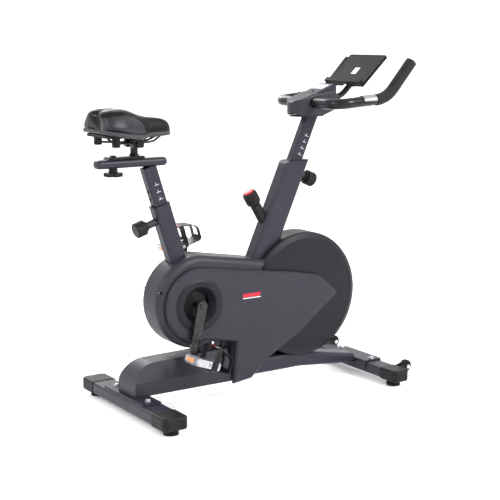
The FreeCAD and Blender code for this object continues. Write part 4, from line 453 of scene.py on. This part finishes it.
def in_side_panel(point):
    """Whether a point of the cushion belongs to one of the side panels."""
    x, y, z = point.x / MM - MIDDLE_X, abs(point.y) / MM, point.z / MM
    if x >= PANEL_FRONT or y <= between(SADDLE_HALF, x) * PANEL_INSIDE:
        return False
    return follow_edge(x, PANEL_FOOT) < z < between(PANEL_TOP, x)


def make_saddle():
    """The padded saddle: foam under leatherette, with a lighter side panel on each flank."""
    verts, faces = saddle_form()
    pad = piece("saddle_cushion", verts, faces, "saddle_leather", "saddle")
    remesh(pad, SADDLE_VOXEL)
    inflate(pad, FOAM_PRESSURE, FOAM_CAP, at_saddle_foot)
    smooth = pad.modifiers.new("Smooth", "SMOOTH")
    smooth.factor, smooth.iterations = 0.5, 4
    fine = pad.modifiers.new("Fine", "SUBSURF")
    fine.levels = fine.render_levels = 1
    bake_modifiers(pad)
    pad.data.materials.clear()
    pad.data.materials.append(MATERIALS["saddle_leather"])
    pad.data.materials.append(MATERIALS["saddle_panel"])
    for polygon in pad.data.polygons:
        if in_side_panel(polygon.center):
            polygon.material_index = 1
    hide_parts("saddle_pad")
    return pad


def surface_line(tree, wanted, inward, out):
    """Points just over a surface, found by looking inwards from outside it."""
    found = []
    for target in wanted:
        hit, normal, _, _ = tree.ray_cast(target - inward * LOOK_FROM, inward, LOOK_DEPTH)
        if hit is not None:
            found.append(hit + normal * out)
    return found


def saddle_seams(pad):
    """Piping and a row of stitches along the top of each side panel."""
    graph = bpy.context.evaluated_depsgraph_get()
    tree = BVHTree.FromObject(pad, graph)
    seams, stitches = [], []
    for side in (-1, 1):
        inward = Vector((0, -side, -0.15)).normalized()
        line = [at(x, 0, between(PANEL_TOP, x)) for x in range(SEAM_START, SEAM_END, 4)]
        over = [at(x, 0, between(PANEL_TOP, x) + STITCH_GAP) for x in range(SEAM_START, SEAM_END, 3)]
        points = surface_line(tree, line, inward, 0.0002)
        seams.append(tube_mesh(points, [SEAM_RADIUS] * len(points), 8))
        rows = surface_line(tree, over, inward, 0.0003)
        for a, b in list(zip(rows, rows[1:]))[::2]:
            arch = a.lerp(b, 0.4) + (b - a).cross(inward) * 0.04
            stitches.append(tube_mesh([a, arch, b], [0.0003, 0.0005, 0.0003], 6))
    merged("saddle_seams", seams, "dark_piping_and_painted_hole_shade", "saddle")
    merged("saddle_stitches", stitches, "thread", "saddle")


def saddle_trim():
    """The textured strip along the saddle's lower edge."""
    outline = []
    for i in range(TRIM_STEPS + 1):
        x = SADDLE_REAR + 3 + (SADDLE_NOSE - SADDLE_REAR - 5) * i / TRIM_STEPS
        outline.append((x, between(SADDLE_HALF, x)))
    loop = outline + [(x, -y) for x, y in reversed(outline)]
    verts = []
    for i, (x, y) in enumerate(loop):
        x0, y0 = loop[i - 1]
        x1, y1 = loop[(i + 1) % len(loop)]
        normal = Vector((-(y1 - y0), x1 - x0)).normalized()
        for offset, z in TRIM_PROFILE:
            verts.append(at(x + normal.x * offset, y + normal.y * offset, follow_edge(x, z)))
    faces = loop_faces(len(loop), len(TRIM_PROFILE))
    piece("saddle_trim", verts, faces, "grey_trim", "saddle")


# ---------------------------------------------------------------------------------------------------
# Handlebar
# ---------------------------------------------------------------------------------------------------
BAR_CORNERS = ((250, 178, 979), (457, 176, 994), (566, 170, 1112))
HORN_BEND = 110.0 * MM
GRIP_BACK, GRIP_AHEAD = 0.05, 0.003
GRIP_RADIUS, GRIP_SETBACK = 0.0198, 0.004
GRIP_MOUTH = ((0.0, 0.0178), (0.0006, 0.0192), (0.002, 0.0199))
GRIP_DOME = ((0.0018, 0.0193), (0.0034, 0.0178), (0.0046, 0.0150), (0.0054, 0.0100), (0.0057, 0.004))


def horn_path(side, steps=22):
    """Centre line of one foam grip, from behind the front bend to the raised tip."""
    corner, bend, tip = (at(x, side * y, z) for x, y, z in BAR_CORNERS)
    back, ahead = (corner - bend).normalized(), (tip - bend).normalized()
    half_turn = (math.pi - back.angle(ahead)) / 2
    reach = HORN_BEND * math.tan(half_turn)
    first, last = bend + back * GRIP_BACK, tip + ahead * GRIP_AHEAD
    start, end = bend + back * reach, bend + ahead * reach
    centre = bend + (back + ahead).normalized() * (HORN_BEND / math.cos(half_turn))
    points = [first, first.lerp(start, 0.5)]
    for i in range(steps + 1):
        ray = (start - centre).slerp(end - centre, i / steps)
        points.append(centre + ray.normalized() * HORN_BEND)
    points += [end.lerp(last, t / 10) for t in range(1, 11)]
    return points


def make_grips():
    """Foam grips with rolled ends and a closed dome at the tip."""
    parts = []
    for side in (-1, 1):
        path = horn_path(side)
        start_way, end_way = (path[1] - path[0]).normalized(), (path[-1] - path[-2]).normalized()
        tip = path[-1]
        radii = [radius for _, radius in GRIP_MOUTH] + [GRIP_RADIUS] * (len(path) - 1)
        path = [path[0] + start_way * along for along, _ in GRIP_MOUTH] + path[1:]
        for drop, radius in GRIP_DOME:
            path.append(tip + end_way * (drop - GRIP_SETBACK))
            radii.append(radius)
        parts.append(tube_mesh(path, radii, 28))
    grips = merged("foam_grips", parts, "foam", "handlebar")
    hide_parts("grips")


# ---------------------------------------------------------------------------------------------------
# Marks and small parts
# ---------------------------------------------------------------------------------------------------
SEAT_SCALE = dict(lean=-17.8, foot=(-269, 502), low=692, high=738, wide=36, count=3)
HANDLEBAR_SCALE = dict(lean=23.9, foot=(91.5, 536), low=806, high=868, wide=34, count=4)
ACCENT_PLACE, PANEL_FACE = (-5, 356), 75.0
ACCENT_BARS, ACCENT_SKEW, ACCENT_HALF, ACCENT_THICK = ((-52, 34), (-14, 30)), 5.0, 0.006, 0.0003
UNDERLINE = ((-50, -0.011), (20, -0.011), (21.5, -0.0085), (-48.5, -0.0085))
KNOB_WAY, KNOB_FOOT, KNOB_LIFT = Vector((-0.515, 0, 0.857)).normalized(), (69, 600), 0.058
KNOB_RIBS, RIB_RADIUS, RIB_LIFT = 26, 0.0236, 0.005
RIB_LENGTHS, RIB_RADII = (0, 0.002, 0.017, 0.031, 0.033), [0.0006, 0.0013, 0.0014, 0.0013, 0.0006]
KNOB_CAP = [(0.0435, 0.0168), (0.0452, 0.0170), (0.0466, 0.0160), (0.0474, 0.013), (0.0477, 0.006),
            (0.0477, 0.001)]
CRANK_CENTRE, CRANK_LENGTH, CRANK_LEAN = (-221.5, 344.4), 170, math.radians(12.5)
PEDAL_PITCH = {"right": 20.0, "left": -16.0}
PEDAL_MIDDLE, STRAP_TOP, STRAP_AHEAD = 153, 0.0595, 0.023
LENS_HALF, LENS_HEIGHT, LENS_REACH, LENS_THICK = 0.019, 0.0062, 0.048, 0.0009
TEETH, TOOTH_GAP, TOOTH_START, TOOTH_REACH, TOOTH_LIFT = 9, 0.0085, -0.034, 0.041, 0.0118
TOOTH = [(-0.001, 0.0019), (0.0012, 0.0017), (0.0022, 0.0008)]
BOLTS = ((-432.5, 105, 75.0), (482.5, 88, 74.0))
# Profile of the dark discs of painted shade in the bolt sockets.
SOCKET_SHADE_DISC = [(-0.001, 0.0040), (0.0001, 0.0040), (0.00015, 0.0036)]
# Profile of the dark domes of painted shade over the cover screw holes.
SCREW_HOLE_SHADE_DOME = [(-0.0015, 0.0052), (0.0005, 0.0052), (0.0009, 0.0046), (0.0011, 0.003), (0.0011, 0.0005)]
SCREW_PLACE, SCREW_TOP = (-351.5, 396), 51.0
DISPLAY_FOOT, DISPLAY_HEAD, DISPLAY_MIDDLE = (266, 1011.8), (340, 1041), 312
HOLDER_HINGE, HOLDER_RECLINE = (444.8, 1039.1), math.radians(43)
LABEL_LINES = ((0.009, 0.009), (0.009, 0.006), (0.006, 0.003), (0.008, -0.008))


def tilted(angle):
    """The forward way and the upward way of something pitched up by an angle."""
    return Vector((math.cos(angle), 0, math.sin(angle))), Vector((-math.sin(angle), 0, math.cos(angle)))


def post_marks(name, body, lean, foot, low, high, wide, count):
    """Plain scale ticks up the right-hand face of a sliding post."""
    across, up = tilted(-math.radians(lean))
    slope = math.tan(math.radians(lean))
    bar, stem = rounded_outline(0.0078, 0.0006, 0.0005, 2), rounded_outline(0.0006, 0.0036, 0.0005, 2)
    parts = []
    for i in range(count):
        height = low + (high - low) * i / (count - 1)
        spot = at(foot[0] + slope * (height - foot[1]), -wide / 2, height) + across * 0.003
        parts.append(slab(bar, across, up, -LEFT, spot, 0.0002))
        parts.append(slab(stem, across, up, -LEFT, spot + up * 0.0046 - across * 0.002, 0.00018))
    merged(name, parts, "white_print", body, smooth=False)


def accent_bars():
    """A plain two-colour slanted accent on each side panel."""
    for side, name in SIDE_NAMES:
        spot, out = at(ACCENT_PLACE[0], side * PANEL_FACE, ACCENT_PLACE[1]), LEFT * side
        red = []
        for start, length in ACCENT_BARS:
            low, high, skew = start * MM, (start + length) * MM, ACCENT_SKEW * MM
            outline = [(low, -ACCENT_HALF), (high, -ACCENT_HALF)]
            outline += [(high + skew, ACCENT_HALF), (low + skew, ACCENT_HALF)]
            red.append(slab(outline, FORWARD, UP, out, spot, ACCENT_THICK))
        white = slab([(x * MM, z) for x, z in UNDERLINE], FORWARD, UP, out, spot, ACCENT_THICK)
        merged(f"{name}_accent_red", red, "red_accent", "frame", smooth=False)
        merged(f"{name}_accent_white", [white], "white_print", "frame", smooth=False)


def knob_details():
    """Ribs and a red cap on the tension knob."""
    foot = at(KNOB_FOOT[0], 0, KNOB_FOOT[1]) + KNOB_WAY * KNOB_LIFT
    side, up = frame_of(KNOB_WAY)
    ribs = []
    for start in circle(foot + KNOB_WAY * RIB_LIFT, side, up, RIB_RADIUS, KNOB_RIBS):
        ribs.append(tube_mesh([start + KNOB_WAY * t for t in RIB_LENGTHS], RIB_RADII, 8))
    merged("tension_knob_ribs", ribs, "black_plastic", "tension_knob")
    cap = lathe_mesh(foot, KNOB_WAY, KNOB_CAP)
    merged("tension_knob_cap", [cap], "red_accent", "tension_knob")


def pedal_frame(side, name):
    """A pedal's centre, its long way and its upward way."""
    x = CRANK_CENTRE[0] + side * CRANK_LENGTH * math.sin(CRANK_LEAN)
    z = CRANK_CENTRE[1] + side * CRANK_LENGTH * math.cos(CRANK_LEAN)
    along, up = tilted(-math.radians(PEDAL_PITCH[name]))
    return at(x, side * PEDAL_MIDDLE, z), along, up


def reflectors():
    """Amber reflectors and rows of grip teeth on both pedals."""
    outline = rounded_outline(LENS_HALF, LENS_HEIGHT, 0.0012, 3)
    for side, name in SIDE_NAMES:
        centre, along, up = pedal_frame(side, name)
        parts, teeth = [], []
        for end in (-1, 1):
            spot = centre + along * (end * LENS_REACH)
            parts.append(slab(outline, LEFT, up, along * end, spot, LENS_THICK))
            for face in (-1, 1):
                row = centre + along * (end * TOOTH_REACH) + up * (face * TOOTH_LIFT)
                for k in range(TEETH):
                    spot = row + LEFT * (TOOTH_START + TOOTH_GAP * k)
                    teeth.append(lathe_mesh(spot, up * face, TOOTH, 8))
        merged(f"{name}_pedal_lenses", parts, "amber_lens", f"{name}_pedal", smooth=False)
        merged(f"{name}_pedal_teeth", teeth, "alloy", f"{name}_pedal", smooth=False)


def bolt_socket_painted_shade():
    """Painted shade: dark hexagon discs flush with the heads of the floor bars' bolts, standing in for the
    shade inside their sockets.
    """
    parts = []
    for x, y, top in BOLTS:
        for side in (-1, 1):
            parts.append(lathe_mesh(at(x, side * y, top), UP, SOCKET_SHADE_DISC, 6))
    merged("bolt_socket_painted_shade", parts, "dark_piping_and_painted_hole_shade", "frame", smooth=False)


def cover_screw_hole_painted_shade():
    """Painted shade: low dark domes at the chain covers' rear screws, standing in for the shade in the
    screw holes.
    """
    parts = []
    for side in (-1, 1):
        spot = at(SCREW_PLACE[0], side * SCREW_TOP, SCREW_PLACE[1])
        parts.append(lathe_mesh(spot, LEFT * side, SCREW_HOLE_SHADE_DOME, 24))
    merged("cover_screw_hole_painted_shade", parts, "dark_piping_and_painted_hole_shade", "frame")


def strap_accents():
    """A red band and a small buckle across the top of each toe strap."""
    for side, name in SIDE_NAMES:
        centre, along, up = pedal_frame(side, name)
        spot = centre + along * STRAP_AHEAD + up * STRAP_TOP
        band = slab(rounded_outline(0.0165, 0.0045, 0.0012, 3), LEFT, along, up, spot, 0.0007)
        merged(f"{name}_strap_band", [band], "red_accent", f"{name}_pedal", smooth=False)
        middle = spot + LEFT * (0.026 * side)
        loop = [middle + LEFT * x + along * y for x, y in rounded_outline(0.005, 0.0105, 0.002, 4)]
        merged(f"{name}_strap_buckle", [wire(loop, 0.0011)], "alloy", f"{name}_pedal")


def display_details():
    """The pale face round the screen."""
    (x0, z0), (x1, z1) = DISPLAY_FOOT, DISPLAY_HEAD
    lean = math.atan2(z1 - z0, x1 - x0)
    along, out = tilted(lean)
    middle = at(DISPLAY_MIDDLE, 0, z0 + (DISPLAY_MIDDLE - x0) * math.tan(lean))
    outer = rounded_outline(0.0325, 0.0235, 0.005, 5)
    inner = rounded_outline(0.0274, 0.0174, 0.003, 5)
    rings = ((outer, -0.0003), (outer, 0.0006), (inner, 0.0006), (inner, -0.0003))
    verts = []
    for outline, lift in rings:
        verts += [middle + LEFT * x + along * y + out * lift for x, y in outline]
    form = (verts, loop_faces(len(rings), len(outer)))
    merged("display_face", [form], "display_face", "handlebar", smooth=False)


def holder_details():
    """A pale blank label and a rim round the tablet plate."""
    along, out = tilted(HOLDER_RECLINE)
    edge = at(HOLDER_HINGE[0], 0, HOLDER_HINGE[1]) - along * 0.016 + out * 0.0215
    spot = edge + along * 0.056 + LEFT * -0.004
    label = slab(rounded_outline(0.013, 0.015, 0.0012, 3), LEFT, along, out, spot, 0.0004)
    lines = []
    for half, lift in LABEL_LINES:
        place = spot + along * lift + out * 0.0004
        lines.append(slab(rounded_outline(half, 0.0005, 0.0004, 2), LEFT, along, out, place, 0.0001))
    merged("holder_label", [label], "white_print", "tablet_holder", smooth=False)
    merged("holder_label_lines", lines, "grey_trim", "tablet_holder", smooth=False)
    middle = edge + along * 0.0685
    loop = [middle + LEFT * x + along * y for x, y in rounded_outline(0.0965, 0.0635, 0.007, 6)]
    merged("holder_rim", [wire(loop, 0.0010)], "gloss_paint", "tablet_holder")


make_grips()
cushion = make_saddle()
saddle_seams(cushion)
saddle_trim()
post_marks("seat_post_marks", "seat_post", **SEAT_SCALE)
post_marks("handlebar_post_marks", "handlebar", **HANDLEBAR_SCALE)
accent_bars()
knob_details()
reflectors()
bolt_socket_painted_shade()
cover_screw_hole_painted_shade()
strap_accents()
display_details()
holder_details()


# ---------------------------------------------------------------------------------------------------
# Stage, light and camera
# ---------------------------------------------------------------------------------------------------
FLOOR_REACH, FLOOR_CURVE, BACKDROP_TOP, FLOOR_SIDES = 6.5, 2.2, (6.5, 8.75), 96
FLOOR_COLOUR, SKY_STRENGTH = (0.94, 0.94, 0.945), 1.35
LIGHT_AIM = Vector((0, 0, 0.5))
CAMERA_PLACE = Vector((-2.1802 + MIDDLE_X * MM, -3.3417, 1.2108))
CAMERA_BACK = Vector((-0.54165, -0.82178, 0.17691))
CAMERA_LENS, CAMERA_SENSOR = 86.88, 36.0


def area_light(name, place, size, power):
    """A soft studio light aimed at the middle of the bike."""
    data = bpy.data.lights.new(name, "AREA")
    data.size, data.energy = size, power
    lamp = bpy.data.objects.new(name, data)
    bpy.context.collection.objects.link(lamp)
    lamp.location = place
    lamp.rotation_euler = (Vector(place) - LIGHT_AIM).to_track_quat("Z", "Y").to_euler()


def make_stage():
    """A pale floor that curves up into a round backdrop, open to the sky light above."""
    profile = [(0.0, 0.02), (0.0, FLOOR_REACH)]
    for turn in range(10, 91, 10):
        angle = math.radians(turn)
        profile.append((FLOOR_CURVE * (1 - math.cos(angle)), FLOOR_REACH + FLOOR_CURVE * math.sin(angle)))
    profile.append(BACKDROP_TOP)
    verts, faces = lathe_mesh(Vector((0, 0, 0)), UP, profile, FLOOR_SIDES)
    mesh = bpy.data.meshes.new("floor")
    mesh.from_pydata([tuple(v) for v in verts], [], faces[:-1])
    for polygon in mesh.polygons:
        polygon.use_smooth = True
    floor = bpy.data.objects.new("floor", mesh)
    bpy.context.collection.objects.link(floor)
    ground = material("floor_paint", FLOOR_COLOUR, 0.7, mottle=(0.8, 0.006), grain=(60, 0.02, "noise"),
                      emission=0.12)
    mesh.materials.append(ground)
    world = bpy.data.worlds.new("studio")
    bpy.context.scene.world = world
    world.use_nodes = True
    world.node_tree.nodes["Background"].inputs["Color"].default_value = (1, 1, 1, 1)
    world.node_tree.nodes["Background"].inputs["Strength"].default_value = SKY_STRENGTH
    area_light("key", (1.6, -3.2, 3.0), 1.3, 210)
    area_light("rear", (-3.2, -0.6, 2.6), 0.9, 55)
    area_light("far", (0.5, 3.2, 2.6), 1.4, 60)


def make_camera():
    """The camera, low behind the bike's right-hand side."""
    data = bpy.data.cameras.new("camera")
    data.lens, data.sensor_width = CAMERA_LENS, CAMERA_SENSOR
    camera = bpy.data.objects.new("camera", data)
    bpy.context.collection.objects.link(camera)
    camera.location = CAMERA_PLACE
    camera.rotation_euler = CAMERA_BACK.to_track_quat("Z", "Y").to_euler()
    bpy.context.scene.camera = camera
    bpy.context.scene.view_settings.view_transform = "Standard"


make_stage()
make_camera()
